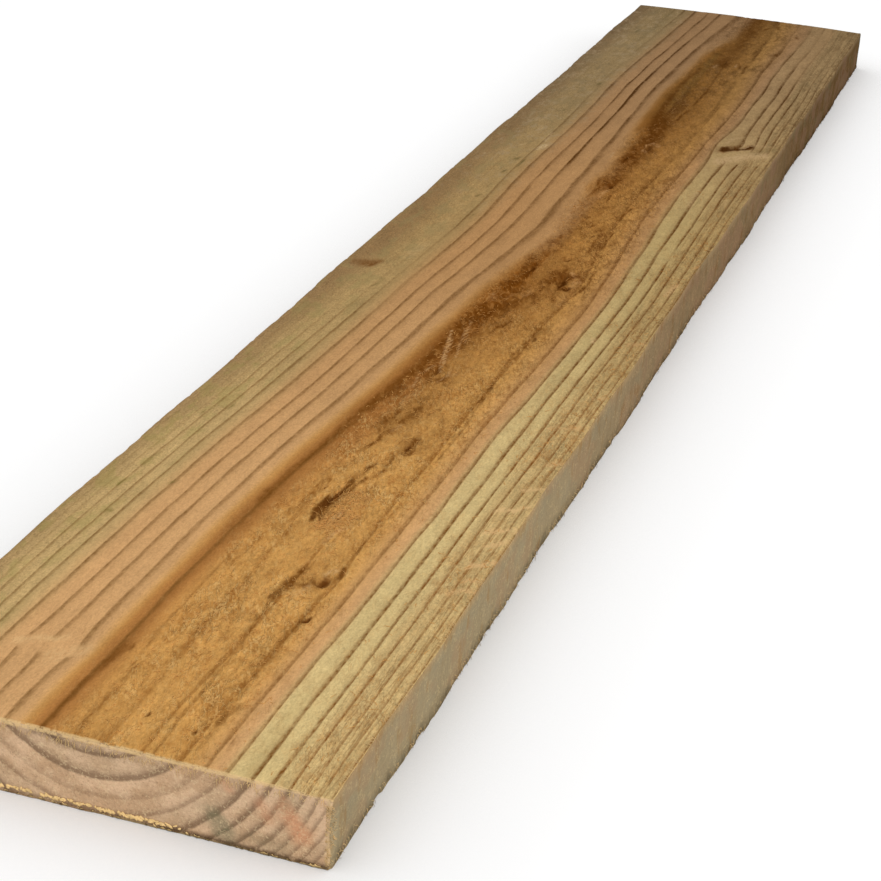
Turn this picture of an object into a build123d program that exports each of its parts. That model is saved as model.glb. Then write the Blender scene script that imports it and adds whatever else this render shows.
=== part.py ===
from build123d import *
import math
import os

# Sawn size of the plank, over everything
length = 950.0
width = 150.0
thickness = 24.0

# Top face: heart side up, so it dried to a slight crown
crown_rise = 0.8

# Long edges: the saw wandered, and each edge left the blade with its own waves
edge_wave_depth = 0.7
edge_wave_length = 236.0
edge_ripple_depth = 0.5
edge_ripple_length = 83.0
edge_point_spacing = 20.0
fewest_steps = 4
left_edge_phase = 0.6
right_edge_phase = 2.3

# Ends: the near one is cut a little out of square, the far one is slightly bowed
near_end_skew = 0.5
far_end_bow = 0.6

# Worn arrises along the top
arris_radius = 0.7

# Lip of torn fibres that the crosscut left along the foot of the near end
lip_reach = 1.2
lip_height = 1.6
lip_length = 104.0
lip_point_spacing = 4.0
lip_wave_length = 13.0
lip_wave_share = 0.28
lip_peak_skew = 0.8
lip_top_share = 0.8

# Chips broken out of the foot of the near end, measured from the left edge
chip_radius = 7.0
chip_bite = 1.4
chip_start = 6.0
chip_pitch = 11.5
chip_count = 9
chip_variation = 0.45
chip_swing_step = 2.4
chip_swing_start = 0.7

# Near right corner, where the vertical arris broke away
corner_break_top = 1.0
corner_break_middle = 3.2
corner_break_foot = 1.6
corner_break_height = 13.0
corner_break_stretch = 1.8

# Torn-grain pocket in the heartwood: a chip with one steep side and a ramped floor
pocket_from_end = 168.0
pocket_from_middle = 9.5
pocket_length = 36.0
pocket_width = 9.0
pocket_hollow_side = 3.2
pocket_depth = 2.2
pocket_turn = -6.0
pocket_steep_place = 0.35
pocket_belly_place = 0.1

# Open split along the spike knot, on the right of the top face
split_from_end = 653.0
split_from_middle = 50.5
split_length = 23.0
split_width = 7.0
split_depth = 4.0
split_turn = 40.0
split_floor_share = 0.35

# Spike knot: a raised ridge of hard wood beside the split, running out to the right edge
spike_from_end = 638.0
spike_from_middle = 60.0
spike_length = 25.0
spike_width = 11.0
spike_crest_width = 6.0
spike_rise = 0.4
spike_turn = 45.0

# Small knots with sunken hearts: distance from the near end, from the middle line,
# length and width of the hollow, its depth and its turn
knot_hollows = {
    "knot beside the streak": (114.0, 27.0, 8.0, 5.0, 1.6, 10.0),
    "pin knot near the end": (88.5, 31.5, 5.0, 2.6, 0.8, 0.0),
    "loose knot": (223.0, 18.0, 11.0, 4.5, 1.4, 4.0),
    "cluster, large eye": (414.0, 21.5, 17.0, 6.5, 2.0, -16.0),
    "cluster, upper eye": (424.0, 5.0, 12.0, 4.0, 1.2, 6.0),
    "ring-shaped knot": (442.0, 16.5, 6.0, 4.5, 1.0, 20.0),
    "knot past the middle": (555.0, 6.5, 9.0, 5.5, 1.6, 0.0),
    "split knot": (628.0, 8.5, 12.0, 4.0, 1.5, -14.0),
    "dark knot towards the far end": (826.0, 8.0, 12.0, 5.0, 1.3, 8.0),
}
hollow_floor_share = 0.3

# Places worked out from the sizes above
near_y = -length / 2
far_y = length / 2
right_x = width / 2
end_face_y = near_y + lip_reach
cut_clearance = 1.0


def edge_inset(distance, phase):
    # How far a long edge stands in from the full width, at a distance from the near end
    wave = 0.5 + 0.5 * math.sin(2 * math.pi * distance / edge_wave_length + phase)
    ripple = 0.5 + 0.5 * math.sin(2 * math.pi * distance / edge_ripple_length + 2 * phase)
    return edge_wave_depth * wave + edge_ripple_depth * ripple


def long_edge(side, phase):
    # Points of one long edge from the near end to the far end; side is -1 left, +1 right
    start_y = end_face_y + (near_end_skew if side > 0 else 0.0)
    run = far_y - start_y
    steps = max(fewest_steps, round(run / edge_point_spacing))
    points = []
    for step in range(steps + 1):
        y = start_y + run * step / steps
        points.append((side * (right_x - edge_inset(y - near_y, phase)), y))
    return points


def plan_prism():
    # The outline seen from above, as high as the plank
    left = long_edge(-1, left_edge_phase)
    right = long_edge(1, right_edge_phase)
    far_middle = (0, far_y)
    far_left = (left[-1][0], far_y - far_end_bow)
    far_right = (right[-1][0], far_y - far_end_bow)
    left[-1] = far_left
    right[-1] = far_right
    outline = Curve() + [
        Line(left[0], right[0]),
        Spline(*right),
        ThreePointArc(far_right, far_middle, far_left),
        Spline(*reversed(left)),
    ]
    return extrude(make_face(outline), amount=thickness)


def crown_radius():
    # Radius of the arc across the top face
    return (right_x ** 2 + crown_rise ** 2) / (2 * crown_rise)


def top_height(from_middle):
    # Height of the crowned top face at a distance from the middle line
    radius = crown_radius()
    return thickness - radius + math.sqrt(radius ** 2 - from_middle ** 2)


def on_top(from_end, from_middle, turn):
    # A place on the top face, with its first axis turned from the length of the plank
    height = top_height(from_middle)
    return Pos(from_middle, near_y + from_end, height) * Rot(0, 0, 90 - turn)


def section_prism():
    # The sawn section, flat below and crowned above, as long as the plank
    half = right_x + cut_clearance
    shoulder = top_height(half)
    section = Curve() + [
        Polyline((-half, shoulder), (-half, 0), (half, 0), (half, shoulder)),
        ThreePointArc((half, shoulder), (0, thickness), (-half, shoulder)),
    ]
    face = make_face(Plane.XZ * section)
    return extrude(face, amount=length / 2 + cut_clearance, both=True)


def ease_top_arrises(board):
    # Rounds the two long arrises of the top face
    top = board.faces().sort_by(Axis.Z)[-1]
    long_ones = top.edges().sort_by(SortBy.LENGTH)[-2:]
    return fillet(long_ones, arris_radius)


def lip_outline(height, reach_share):
    # The ragged lip seen from above, at one height and with a share of its reach
    left_x = -right_x + edge_inset(lip_reach, left_edge_phase)
    steps = max(fewest_steps, round(lip_length / lip_point_spacing))
    reaches = []
    for step in range(steps + 1):
        share = step / steps
        fade = math.sin(math.pi * share ** lip_peak_skew)
        wave = math.sin(2 * math.pi * lip_length * share / lip_wave_length)
        reaches.append(fade * (1 - lip_wave_share * (1 - wave)))
    points = []
    for step, reach in enumerate(reaches):
        y = end_face_y - lip_reach * reach_share * reach / max(reaches)
        points.append((left_x + lip_length * step / steps, y))
    root_y = end_face_y + cut_clearance
    start = (left_x, root_y)
    finish = (left_x + lip_length, root_y)
    outline = Curve() + [
        Line(start, points[0]),
        Spline(*points),
        Line(points[-1], finish),
        Line(finish, start),
    ]
    return Pos(0, 0, height) * make_face(outline)


def breakout_lip():
    # The ragged lip along the foot of the near end, from the left edge to past the middle
    return loft([lip_outline(0, 1), lip_outline(lip_height, lip_top_share)])


def foot_chips():
    # Rounded bites along the foot of the near end, each of its own size
    chips = []
    for number in range(chip_count):
        swing = math.sin(chip_swing_step * number + chip_swing_start)
        radius = chip_radius * (1 + chip_variation * swing)
        bite = chip_bite * (1 + chip_variation * swing)
        reach = (radius - bite) / math.sqrt(2)
        x = -right_x + chip_start + chip_pitch * number
        y = end_face_y - reach
        chips.append(Pos(x, y, -reach) * Sphere(radius))
    return chips


def corner_break():
    # The near right vertical arris, gone where the saw tore it off
    corner_x = right_x
    heights = (0.0, corner_break_height, thickness)
    sizes = (corner_break_foot, corner_break_middle, corner_break_top)
    slices = []
    for height, size in zip(heights, sizes):
        inner_x = corner_x - edge_inset(lip_reach, right_edge_phase) - size
        inner_y = end_face_y + near_end_skew + size * corner_break_stretch
        outside_x = corner_x + cut_clearance
        outside_y = near_y - cut_clearance
        corner = Polyline(
            (inner_x, outside_y), (outside_x, outside_y), (outside_x, inner_y), close=True
        )
        slices.append(Pos(0, 0, height) * make_face(corner))
    return loft(slices)


def hollow(size):
    # An oval hollow that narrows to its floor
    from_end, from_middle, long_axis, short_axis, depth, turn = size
    mouth = Pos(0, 0, cut_clearance) * Ellipse(long_axis / 2, short_axis / 2)
    floor = Pos(0, 0, -depth) * Ellipse(
        long_axis / 2 * hollow_floor_share, short_axis / 2 * hollow_floor_share
    )
    return on_top(from_end, from_middle, turn) * loft([mouth.face(), floor.face()])


def torn_pocket():
    # A crescent drawn on a floor that ramps down to the steep side
    half = pocket_length / 2
    crescent = Curve() + [
        ThreePointArc((-half, 0), (-half * pocket_steep_place, pocket_hollow_side), (half, 0)),
        ThreePointArc((half, 0), (-half * pocket_belly_place, pocket_hollow_side - pocket_width), (-half, 0)),
    ]
    dip = math.degrees(math.atan2(pocket_depth, pocket_width))
    hinge = pocket_width - pocket_hollow_side
    ramp = Pos(0, -hinge, 0) * Rot(-dip, 0, 0) * Pos(0, hinge, 0)
    chip = extrude(make_face(crescent), amount=pocket_depth + cut_clearance)
    return on_top(pocket_from_end, pocket_from_middle, pocket_turn) * ramp * chip


def spike_split():
    # The open split beside the spike knot, wedge-shaped in depth
    mouth = Pos(0, 0, cut_clearance) * Ellipse(split_length / 2, split_width / 2)
    floor = Pos(0, 0, -split_depth) * Ellipse(
        split_length / 2 * (1 - split_floor_share), split_width / 2 * split_floor_share
    )
    return on_top(split_from_end, split_from_middle, split_turn) * loft([mouth.face(), floor.face()])


def spike_ridge():
    # The hard knot wood beside the split, left standing between the saw strokes
    side_slope = (spike_width - spike_crest_width) / 2
    base = Pos(0, 0, -spike_rise) * Ellipse(spike_length / 2, spike_width / 2)
    crest = Pos(0, 0, spike_rise) * Ellipse(spike_length / 2 - side_slope, spike_crest_width / 2)
    return on_top(spike_from_end, spike_from_middle, spike_turn) * loft([base.face(), crest.face()])


def build_plank():
    board = plan_prism() & section_prism()
    board = ease_top_arrises(board)
    board = board + breakout_lip() + spike_ridge()
    cuts = foot_chips() + [corner_break(), torn_pocket(), spike_split()]
    cuts += [hollow(size) for size in knot_hollows.values()]
    for cut in cuts:
        board = board - cut
    return board


def main():
    os.makedirs("parts", exist_ok=True)
    plank = build_plank()
    export_step(plank, "parts/plank.step")
    box = plank.bounding_box()
    print("plank", "valid", plank.is_valid, "solids", len(plank.solids()), "size", box.size)


main()
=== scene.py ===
import bmesh
import bpy
import math
import numpy as np
import random
from mathutils import Matrix, Vector
from mathutils.bvhtree import BVHTree


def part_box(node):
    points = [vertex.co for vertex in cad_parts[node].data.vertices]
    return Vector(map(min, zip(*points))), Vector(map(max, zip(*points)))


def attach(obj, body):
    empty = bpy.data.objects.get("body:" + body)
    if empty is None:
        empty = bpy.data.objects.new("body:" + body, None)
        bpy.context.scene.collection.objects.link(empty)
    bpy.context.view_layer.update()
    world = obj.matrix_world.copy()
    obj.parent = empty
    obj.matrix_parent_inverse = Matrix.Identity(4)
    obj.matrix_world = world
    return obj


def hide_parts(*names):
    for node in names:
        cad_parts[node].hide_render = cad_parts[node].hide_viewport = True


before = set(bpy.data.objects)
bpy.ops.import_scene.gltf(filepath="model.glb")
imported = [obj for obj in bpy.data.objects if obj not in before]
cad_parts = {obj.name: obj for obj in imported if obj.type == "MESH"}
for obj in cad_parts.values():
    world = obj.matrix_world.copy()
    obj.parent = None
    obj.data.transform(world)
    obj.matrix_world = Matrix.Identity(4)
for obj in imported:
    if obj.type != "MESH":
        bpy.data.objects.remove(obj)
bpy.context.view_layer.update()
perMetre = 1000  # the script works in millimetres, and the scene in metres
millimetre = 0.001
plankLow, plankHigh = (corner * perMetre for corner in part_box("plank"))
print("frame loaded, plank", [round(side, 1) for side in plankHigh - plankLow], "mm")

random.seed(7)

# Camera and light

photoView = {
    "place": (0.2399, -0.9275, 0.3549),
    "heading": 17.299,  # degrees to the left of the plank's length
    "tilt": 24.814,  # degrees below level
    "roll": 3.355,
    "lens": 87.68,
    "sensor": 36.0,
    "clip": (0.01, 50.0),
}

studio = {
    "skyStrength": 0.56,
    "lampPower": 1.85,
    "lampFrom": (0.88, -1.32, 1.67),
    "lampSpread": 32.0,  # degrees across, as a softbox seen from the plank
    "floorSize": 9.0,
    "floorDrop": 0.0002,
    "floorTone": 0.80,
    "floorLift": 0.03,
    "contactReach": 0.055,  # how far out the plank's contact shadow spreads, and its tone at the deepest
    "contactTone": 0.48,
}

white = (1, 1, 1, 1)
bench = {}  # the node tree that is being worked on


def addObject(name, data):
    thing = bpy.data.objects.new(name, data)
    bpy.context.scene.collection.objects.link(thing)
    return thing


def meshFrom(bm, name):
    mesh = bpy.data.meshes.new(name)
    bm.to_mesh(mesh)
    bm.free()
    return mesh


def startNodes(owner):
    # Empties the node tree of a material or a world, and puts it on the bench
    owner.use_nodes = True
    owner.node_tree.nodes.clear()
    bench["tree"] = owner.node_tree
    return owner


def setInput(socket, value):
    if isinstance(value, bpy.types.NodeSocket):
        bench["tree"].links.new(value, socket)
    else:
        socket.default_value = value


def addNode(kind, inputs=None, **settings):
    node = bench["tree"].nodes.new("ShaderNode" + kind)
    for name, value in settings.items():
        setattr(node, name, value)
    for name, value in (inputs or {}).items():
        setInput(node.inputs[name], value)
    return node


def tone(red, green, blue):
    # A screen colour of 0 to 255 as the linear colour that renders back to it
    linear = []
    for value in (red, green, blue):
        share = value / 255
        linear.append(share / 12.92 if share <= 0.04045 else ((share + 0.055) / 1.055) ** 2.4)
    return (*linear, 1.0)


def placeCamera(view):
    lensData = bpy.data.cameras.new("photoCamera")
    lensData.lens = view["lens"]
    lensData.sensor_width = view["sensor"]
    lensData.clip_start, lensData.clip_end = view["clip"]
    camera = addObject("photoCamera", lensData)
    aim = Matrix.Translation(view["place"])
    for angle, axis in ((view["heading"], "Z"), (90 - view["tilt"], "X"), (view["roll"], "Z")):
        aim = aim @ Matrix.Rotation(math.radians(angle), 4, axis)
    camera.matrix_world = aim
    bpy.context.scene.camera = camera


def makeStudio(settings):
    world = startNodes(bpy.data.worlds.new("paleStudio"))
    bpy.context.scene.world = world
    seen = addNode("LightPath").outputs["Is Camera Ray"]
    strength = addNode("Mix", {0: seen, 2: settings["skyStrength"], 3: 1.0}).outputs[0]
    sky = addNode("Background", {"Color": white, "Strength": strength})
    addNode("OutputWorld", {"Surface": sky.outputs[0]})

    lampData = bpy.data.lights.new("softLamp", "SUN")
    lampData.energy = settings["lampPower"]
    lampData.angle = math.radians(settings["lampSpread"])
    place = Vector(settings["lampFrom"])
    aim = place.to_track_quat("Z", "Y").to_matrix().to_4x4()
    addObject("softLamp", lampData).matrix_world = Matrix.Translation(place) @ aim

    bm = bmesh.new()
    bmesh.ops.create_grid(bm, x_segments=1, y_segments=1, size=settings["floorSize"] / 2)
    bmesh.ops.translate(bm, vec=(0, 0, -settings["floorDrop"]), verts=bm.verts)
    floor = addObject("floor", meshFrom(bm, "floor"))
    floor.data.materials.append(makeFloorMaterial(settings))


def makeFloorMaterial(settings):
    # White to the camera where nothing shades it, and a plain pale floor to every other ray
    material = startNodes(bpy.data.materials.new("paleFloor"))
    seen = addNode("LightPath").outputs["Is Camera Ray"]
    contact = addNode("AmbientOcclusion", {"Distance": settings["contactReach"]}, samples=3)
    shades = {"Value": contact.outputs["AO"], "To Min": settings["contactTone"], "To Max": 1.0}
    seenTone = addNode("MapRange", shades).outputs["Result"]
    level = addNode("Mix", {0: seen, 2: settings["floorTone"], 3: seenTone})
    matt = addNode("BsdfDiffuse", {"Color": level.outputs[0]})
    lift = addNode("Math", {0: seen, 1: settings["floorLift"]}, operation="MULTIPLY")
    glow = addNode("Emission", {"Color": white, "Strength": lift.outputs[0]})
    both = addNode("AddShader", {0: matt.outputs[0], 1: glow.outputs[0]})
    addNode("OutputMaterial", {"Surface": both.outputs[0]})
    return material


placeCamera(photoView)
makeStudio(studio)
bpy.context.scene.view_settings.view_transform = "Standard"
print("camera, lamp and floor ready")

# The stem that the plank was sawn from: everything in the grain follows from it

stem = {
    "pithPath": [  # along the plank, across it, height of the pith
        (-475, 1.5, 50.0), (-300, 2.5, 50.5), (-200, 4.0, 53.0), (-110, 6.0, 54.5), (0, 8.0, 58.0),
        (80, 6.5, 57.6), (200, 6.5, 56.0), (275, 4.8, 55.5), (340, 3.0, 57.5), (475, 4.5, 59.5),
    ],
    "ringRadii": [
        18, 23, 27, 31, 38.6, 44.6, 50, 56.6, 62, 66.5, 71, 74.5, 77.5, 80.5, 83.5, 86.5, 90, 94,
    ],
    "ringWobble": 0.8,
    "bendReach": 1.6,
    "reachOfCurve": 100.0,  # radius at the end of the curve that counts the rings
}

# Marks on the top face all begin with four numbers: along, across, half length, half width

ringBends = [  # knots that push the rings aside, and how hard
    (-361, 27, 16, 5, 1.6), (-60, 22, 34, 9, 3.0), (-35, 16, 10, 5, 0.8), (178, 50, 24, 10, 3.2),
    (351, 14, 26, 8, 2.4), (-307, 10, 26, 8, 1.5), (80, 6, 20, 8, 1.5), (440, 38, 14, 4, 0.9),
    (388, 34, 14, 4, 0.9), (-254, 18, 18, 5, 0.8), (-432, -33, 8, 9, 1.4), (-77, -62, 10, 5, 0.8),
]

ringSwells = [  # uneven growth: how far the rings swell outwards, or draw in
    (290, 4.2, 120, 12, -1.5), (352, 4.2, 30, 8, -1.2), (-60, 44, 70, 12, -1.8), (400, -34, 130, 16, 2.2),
    (90, -32, 60, 16, -0.6), (-200, -33, 70, 14, 0.9), (-165, 43, 95, 12, -1.9), (400, 45, 100, 26, -3.6),
]

lineFades = [  # how far the dark ring lines fade; a share below nothing makes them plainer
    (190, -24.5, 110, 4.0, -0.6), (300, -24, 90, 12, -0.3), (-395, -1, 80, 3.6, 0.9),
    (-300, 9, 210, 5, 1.0), (-215, 19, 120, 6, 0.9), (20, 9, 205, 14, 1.0), (445, 45, 45, 30, 0.6),
    (165, 25.5, 60, 3.5, 0.5), (330, 25.5, 40, 4, 0.7), (-120, 1, 110, 8, 1.0), (-432, -34, 5, 15, 0.9),
    (60, -60, 250, 16, 0.75), (330, -60, 260, 17, 0.8), (-80, -43, 70, 5, 0.6), (0, -50, 130, 5, 0.6),
    (275, 28, 28, 4, 0.8), (-5, 56, 16, 4, 0.8), (-20, 48, 24, 3, 0.5), (400, 62, 90, 14, 0.6),
    (163, 58, 14, 14, 1.0), (-85, -35, 22, 3, 0.8), (390, 28, 70, 4, 0.6), (70, -28, 12, 3, 0.5),
]


def latticeValue(ix, iy, iz, seed):
    # A fixed random value from -1 to 1 for each corner of a lattice
    mixed = ix * 73856093 ^ iy * 19349663 ^ iz * 83492791 ^ (seed * 2654435761 + 97)
    mixed = (mixed ^ (mixed >> 13)) * 1274126177
    mixed = mixed ^ (mixed >> 16)
    return (mixed & 0xFFFF) / 32767.5 - 1.0


def softNoise(x, y, z, seed):
    # Smooth random field over arrays of places, one lattice cell for each unit
    cells, shares = [], []
    for values in (x, y, z):
        base = np.floor(values)
        part = values - base
        cells.append(base.astype(np.int64))
        shares.append(part * part * (3 - 2 * part))
    total = np.zeros_like(shares[0])
    for corner in range(8):
        steps = [corner & 1, corner >> 1 & 1, corner >> 2 & 1]
        weight = 1.0
        for step, share in zip(steps, shares):
            weight = weight * (share if step else 1 - share)
        total += weight * latticeValue(*(cell + step for cell, step in zip(cells, steps)), seed)
    return total


def layeredNoise(x, y, z, seed, layers=3):
    total = 0.0
    for layer in range(layers):
        factor = 2 ** layer
        total = total + softNoise(x * factor, y * factor, z * factor, seed + layer) / factor
    return total / (2 - 2 ** (1 - layers))


def flatNoise(x, y, seed, layers=1):
    return layeredNoise(x, y, 0 * x, seed, layers)


reliefNoises = {  # cell size in millimetres in two directions, seed, layers
    "heartRim": (30, 40, 31, 1),
    "tornPatches": (15, 34, 32, 2),
    "tears": (1.4, 5, 41, 2),
    "gouges": (1.9, 15, 45, 2),
    "sawWander": (45, 70, 48, 1),
    "sawPatches": (30, 55, 50, 1),
    "ripple": (34, 70, 52, 2),
    "hollowRims": (2.2, 3, 61, 1),
    "pocketFloor": (1.3, 2.2, 62, 2),
    "splitRim": (2, 2, 63, 1),
    "sideWander": (40, 30, 71, 1),
    "scallops": (90, 1, 75, 1),
    "lip": (4.5, 1, 91, 2),
}


def reliefNoise(name, first, second):
    firstCell, secondCell, seed, layers = reliefNoises[name]
    return flatNoise(first / firstCell, second / secondCell, seed, layers)


def stepUp(start, end, value):
    share = np.clip((value - start) / (end - start), 0.0, 1.0)
    return share * share * (3 - 2 * share)


def pathAt(path, along):
    # A smooth line through the stations of a path, for every value of along
    stations = np.array(path, float)
    slopes = np.gradient(stations[:, 1:], stations[:, 0], axis=0)
    along = np.clip(along, stations[0, 0], stations[-1, 0])
    piece = np.clip(np.searchsorted(stations[:, 0], along, side="right") - 1, 0, len(stations) - 2)
    span = stations[piece + 1, 0] - stations[piece, 0]
    t = ((along - stations[piece, 0]) / span)[:, None]
    span = span[:, None]
    curve = (2 * t ** 3 - 3 * t ** 2 + 1) * stations[piece, 1:]
    curve = curve + (t ** 3 - 2 * t ** 2 + t) * slopes[piece] * span
    curve = curve + (3 * t ** 2 - 2 * t ** 3) * stations[piece + 1, 1:]
    return curve + (t ** 3 - t ** 2) * slopes[piece + 1] * span


def markShape(x, y, along, across, halfLength, halfWidth, turn=0.0):
    # Places in a mark's own axes, one unit at its rim
    angle = math.radians(turn)
    dy, dx = y - along, x - across
    lengthwise = (dy * math.cos(angle) + dx * math.sin(angle)) / halfLength
    sidewise = (dx * math.cos(angle) - dy * math.sin(angle)) / halfWidth
    return lengthwise, sidewise


def fadeOut(lengthwise, sidewise):
    return np.exp(-np.minimum(lengthwise ** 2 + sidewise ** 2, 30.0))


def grainAt(x, y, z):
    # Where the pith lies beside each place, and how far the ring there is pushed outwards
    pith = pathAt(stem["pithPath"], y)
    push = stem["ringWobble"] * layeredNoise(x / 22, y / 75, z / 22, 11, 2)
    side = np.sign(x - pith[:, 0])
    for *mark, strength in ringBends:
        lengthwise, sidewise = markShape(x, y, *mark)
        push = push - side * strength * sidewise * fadeOut(lengthwise, sidewise) * stem["bendReach"]
    for *mark, swell in ringSwells:
        push = push + swell * fadeOut(*markShape(x, y, *mark))
    return pith[:, 0], pith[:, 1], push


def ringPhase(x, y, z):
    pithX, pithZ, push = grainAt(x, y, z)
    radius = np.hypot(x - pithX, z - pithZ) + push
    return radius, np.interp(radius, stem["ringRadii"], range(len(stem["ringRadii"])))


def lateWood(phase, middle, width):
    # Where the dense late wood of each ring is, from 0 to 1
    return np.exp(-(((phase % 1.0) - middle) / width) ** 2)


# The plank's sawn form

sawnForm = {
    "columns": 164,
    "rows": 372,
    "wallRows": 13,
    "nearRowShare": 0.55,  # rows lie closer together towards the near end
    "heartColumns": 0.34,  # and columns over the heart
    "heartShare": 0.2,
    "heartSpread": 0.5,
    "bottomColumns": 18,
    "bottomRows": 110,
    "crown": 0.8,
    "arris": 0.6,
    "waveDepth": 0.7,
    "waveLength": 236.0,
    "rippleDepth": 0.5,
    "rippleLength": 83.0,
    "leftPhase": 0.6,
    "rightPhase": 2.3,
    "endSkew": 0.5,
    "farBow": 0.6,
    "lipReach": 1.2,
    "lipHeight": 1.6,
    "lipLength": 104.0,
    "margin": 0.01,  # how far every piece stays inside the plank's box
}

halfWidth = plankHigh.x
nearY, farY = plankLow.y, plankHigh.y
thickness = plankHigh.z

finerPatches = [  # smaller cells round a knot, pocket or split
    (-305, 9, 24, 8), (-361, 27, 12, 8), (178, 50, 15, 12), (-61, 21, 16, 10), (-50, 5, 10, 5),
    (-254, 18, 10, 6), (80, 6, 9, 6), (153, 8, 10, 6), (352, 8, 9, 6), (-386, 31, 6, 4), (-457, 26, 6, 4),
    (-455, 10, 5, 3),
]

hollows = [  # forms cut into the top face: then the depth and the turn
    (-361, 27, 4.0, 2.5, 1.6, 10), (-386, 31.5, 2.5, 1.3, 0.8, 0), (-352.5, 31, 4.5, 1.1, 0.6, 0),
    (-252, 18, 5.5, 2.2, 1.4, 4), (-61, 21.5, 8.5, 3.2, 2.0, -16), (-51, 5, 6.0, 2.0, 1.2, 6),
    (-33, 16.5, 3.0, 2.2, 1.0, 20), (80, 6.5, 4.5, 2.7, 1.6, 0), (153, 8.5, 6.0, 2.0, 1.5, -14),
    (351, 8, 6.0, 2.5, 1.3, 8), (-457, 26, 1.8, 1.2, 0.6, 0), (-454.5, 10.3, 1.6, 0.8, 0.5, 0),
    (-423, -10.5, 1.8, 0.9, 0.5, 0), (-280, 15.5, 3.5, 1.0, 0.7, 0), (-242, 4, 6.0, 1.2, 0.7, 0),
    (-231, 3, 6.0, 1.3, 0.8, 0), (-182, 4, 6.0, 1.6, 0.9, -6), (-105, 3.5, 3.0, 3.2, 0.8, 0),
    (-82, 7.5, 3.0, 2.0, 0.9, 0), (-69.5, 26, 3.0, 1.7, 1.1, 0), (-123, 13.5, 5.0, 1.1, 0.7, -8),
    (128, 5, 4.0, 1.6, 0.6, 0), (387, 34, 3.5, 1.1, 0.5, 0), (438, 38, 3.5, 1.2, 0.5, 0),
    (457, 23, 4.0, 1.2, 0.5, 0), (-76.5, -61, 2.5, 1.5, 0.6, 0),
]

tornPocket = {
    "mark": (-307.0, 9.5, 1, 1),
    "turn": -6.0,
    "halfLength": 18.0,
    "bowSteep": 3.2,
    "bowShallow": 5.8,
    "depth": 2.2,
}

spikeKnot = {
    "split": (178.0, 50.5, 11.5, 3.4),
    "splitTurn": 40.0,
    "splitDepth": 4.0,
    "ridge": (163.0, 60.0, 13.0, 5.2),
    "ridgeTurn": 45.0,
    "ridgeRise": 0.4,
}

cornerBreak = {"top": 1.0, "middle": 3.2, "foot": 1.6, "height": 13.0, "lengthwise": 1.8}

sawMarks = {
    "topPitch": 2.6,
    "topDepth": 0.07,
    "sidePitch": 3.4,
    "sideDepth": 0.10,
    "sideBeatPitch": 9.5,
    "sideBeatDepth": 0.30,
    "scallopPitch": 33.0,
    "scallopDepth": 0.3,
    "endPitch": 1.4,
    "endDepth": 0.06,
}

tornGrain = {"sink": 0.3, "depth": 0.42, "gougeDepth": 0.6, "ringRise": 0.12, "ripple": 0.16}


def edgeInset(distance, phase):
    wave = 0.5 + 0.5 * np.sin(2 * math.pi * distance / sawnForm["waveLength"] + phase)
    ripple = 0.5 + 0.5 * np.sin(2 * math.pi * distance / sawnForm["rippleLength"] + 2 * phase)
    return sawnForm["waveDepth"] * wave + sawnForm["rippleDepth"] * ripple


def gatherColumns(share):
    # Draws columns in towards the heart, and leaves both edges where they are
    gap = share - sawnForm["heartShare"]
    pull = sawnForm["heartColumns"] * gap * (1 - share ** 2)
    return share - pull * math.exp(-((gap / sawnForm["heartSpread"]) ** 2))


def makeBlock():
    # A fine skin of quads: a grid on top, walls pulled down from its rim, and a plain underside
    bm = bmesh.new()
    bmesh.ops.create_grid(bm, x_segments=sawnForm["columns"], y_segments=sawnForm["rows"], size=1.0)
    size = plankHigh - plankLow
    for vert in bm.verts:
        share = (vert.co.y + 1) / 2
        graded = share * (sawnForm["nearRowShare"] + (1 - sawnForm["nearRowShare"]) * share)
        vert.co = Vector((gatherColumns(vert.co.x) * size.x / 2, nearY + graded * size.y, thickness))
    rim = [edge for edge in bm.edges if edge.is_boundary]
    drop = thickness / sawnForm["wallRows"]
    for row in range(sawnForm["wallRows"]):
        grown = bmesh.ops.extrude_edge_only(bm, edges=rim)["geom"]
        lowered = [item for item in grown if isinstance(item, bmesh.types.BMVert)]
        bmesh.ops.translate(bm, vec=(0, 0, -drop), verts=lowered)
        rim = [item for item in grown if isinstance(item, bmesh.types.BMEdge) and item.is_boundary]
    underside = bmesh.ops.holes_fill(bm, edges=rim, sides=0)["faces"]
    sliceUnderside(bm, underside, size)
    bmesh.ops.recalc_face_normals(bm, faces=bm.faces)
    for patch in finerPatches:
        refineTop(bm, *patch)

    def isArris(edge):
        above = min(vert.co.z for vert in edge.verts) > drop / 2
        return above and edge.calc_face_angle(0) > 1.0

    arrises = [edge for edge in bm.edges if isArris(edge)]
    bmesh.ops.bevel(
        bm, geom=arrises, offset=sawnForm["arris"], offset_type="OFFSET", affect="EDGES", segments=2,
        profile=0.5, material=-1, clamp_overlap=True,
    )
    bm.normal_update()
    return bm


def sliceUnderside(bm, faces, size):
    # The flat underside, cut into cells only as fine as its grain needs
    geom = set(faces)
    for face in faces:
        geom.update(face.edges)
        geom.update(face.verts)
    geom = list(geom)
    columns, rows = sawnForm["bottomColumns"], sawnForm["bottomRows"]
    planes = [((size.x * (step / columns - 0.5), 0, 0), (1, 0, 0)) for step in range(1, columns)]
    planes += [((0, nearY + size.y * step / rows, 0), (0, 1, 0)) for step in range(1, rows)]
    for place, normal in planes:
        cut = bmesh.ops.bisect_plane(bm, geom=geom, plane_co=place, plane_no=normal, dist=0.05)
        geom = cut["geom"]


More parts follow.
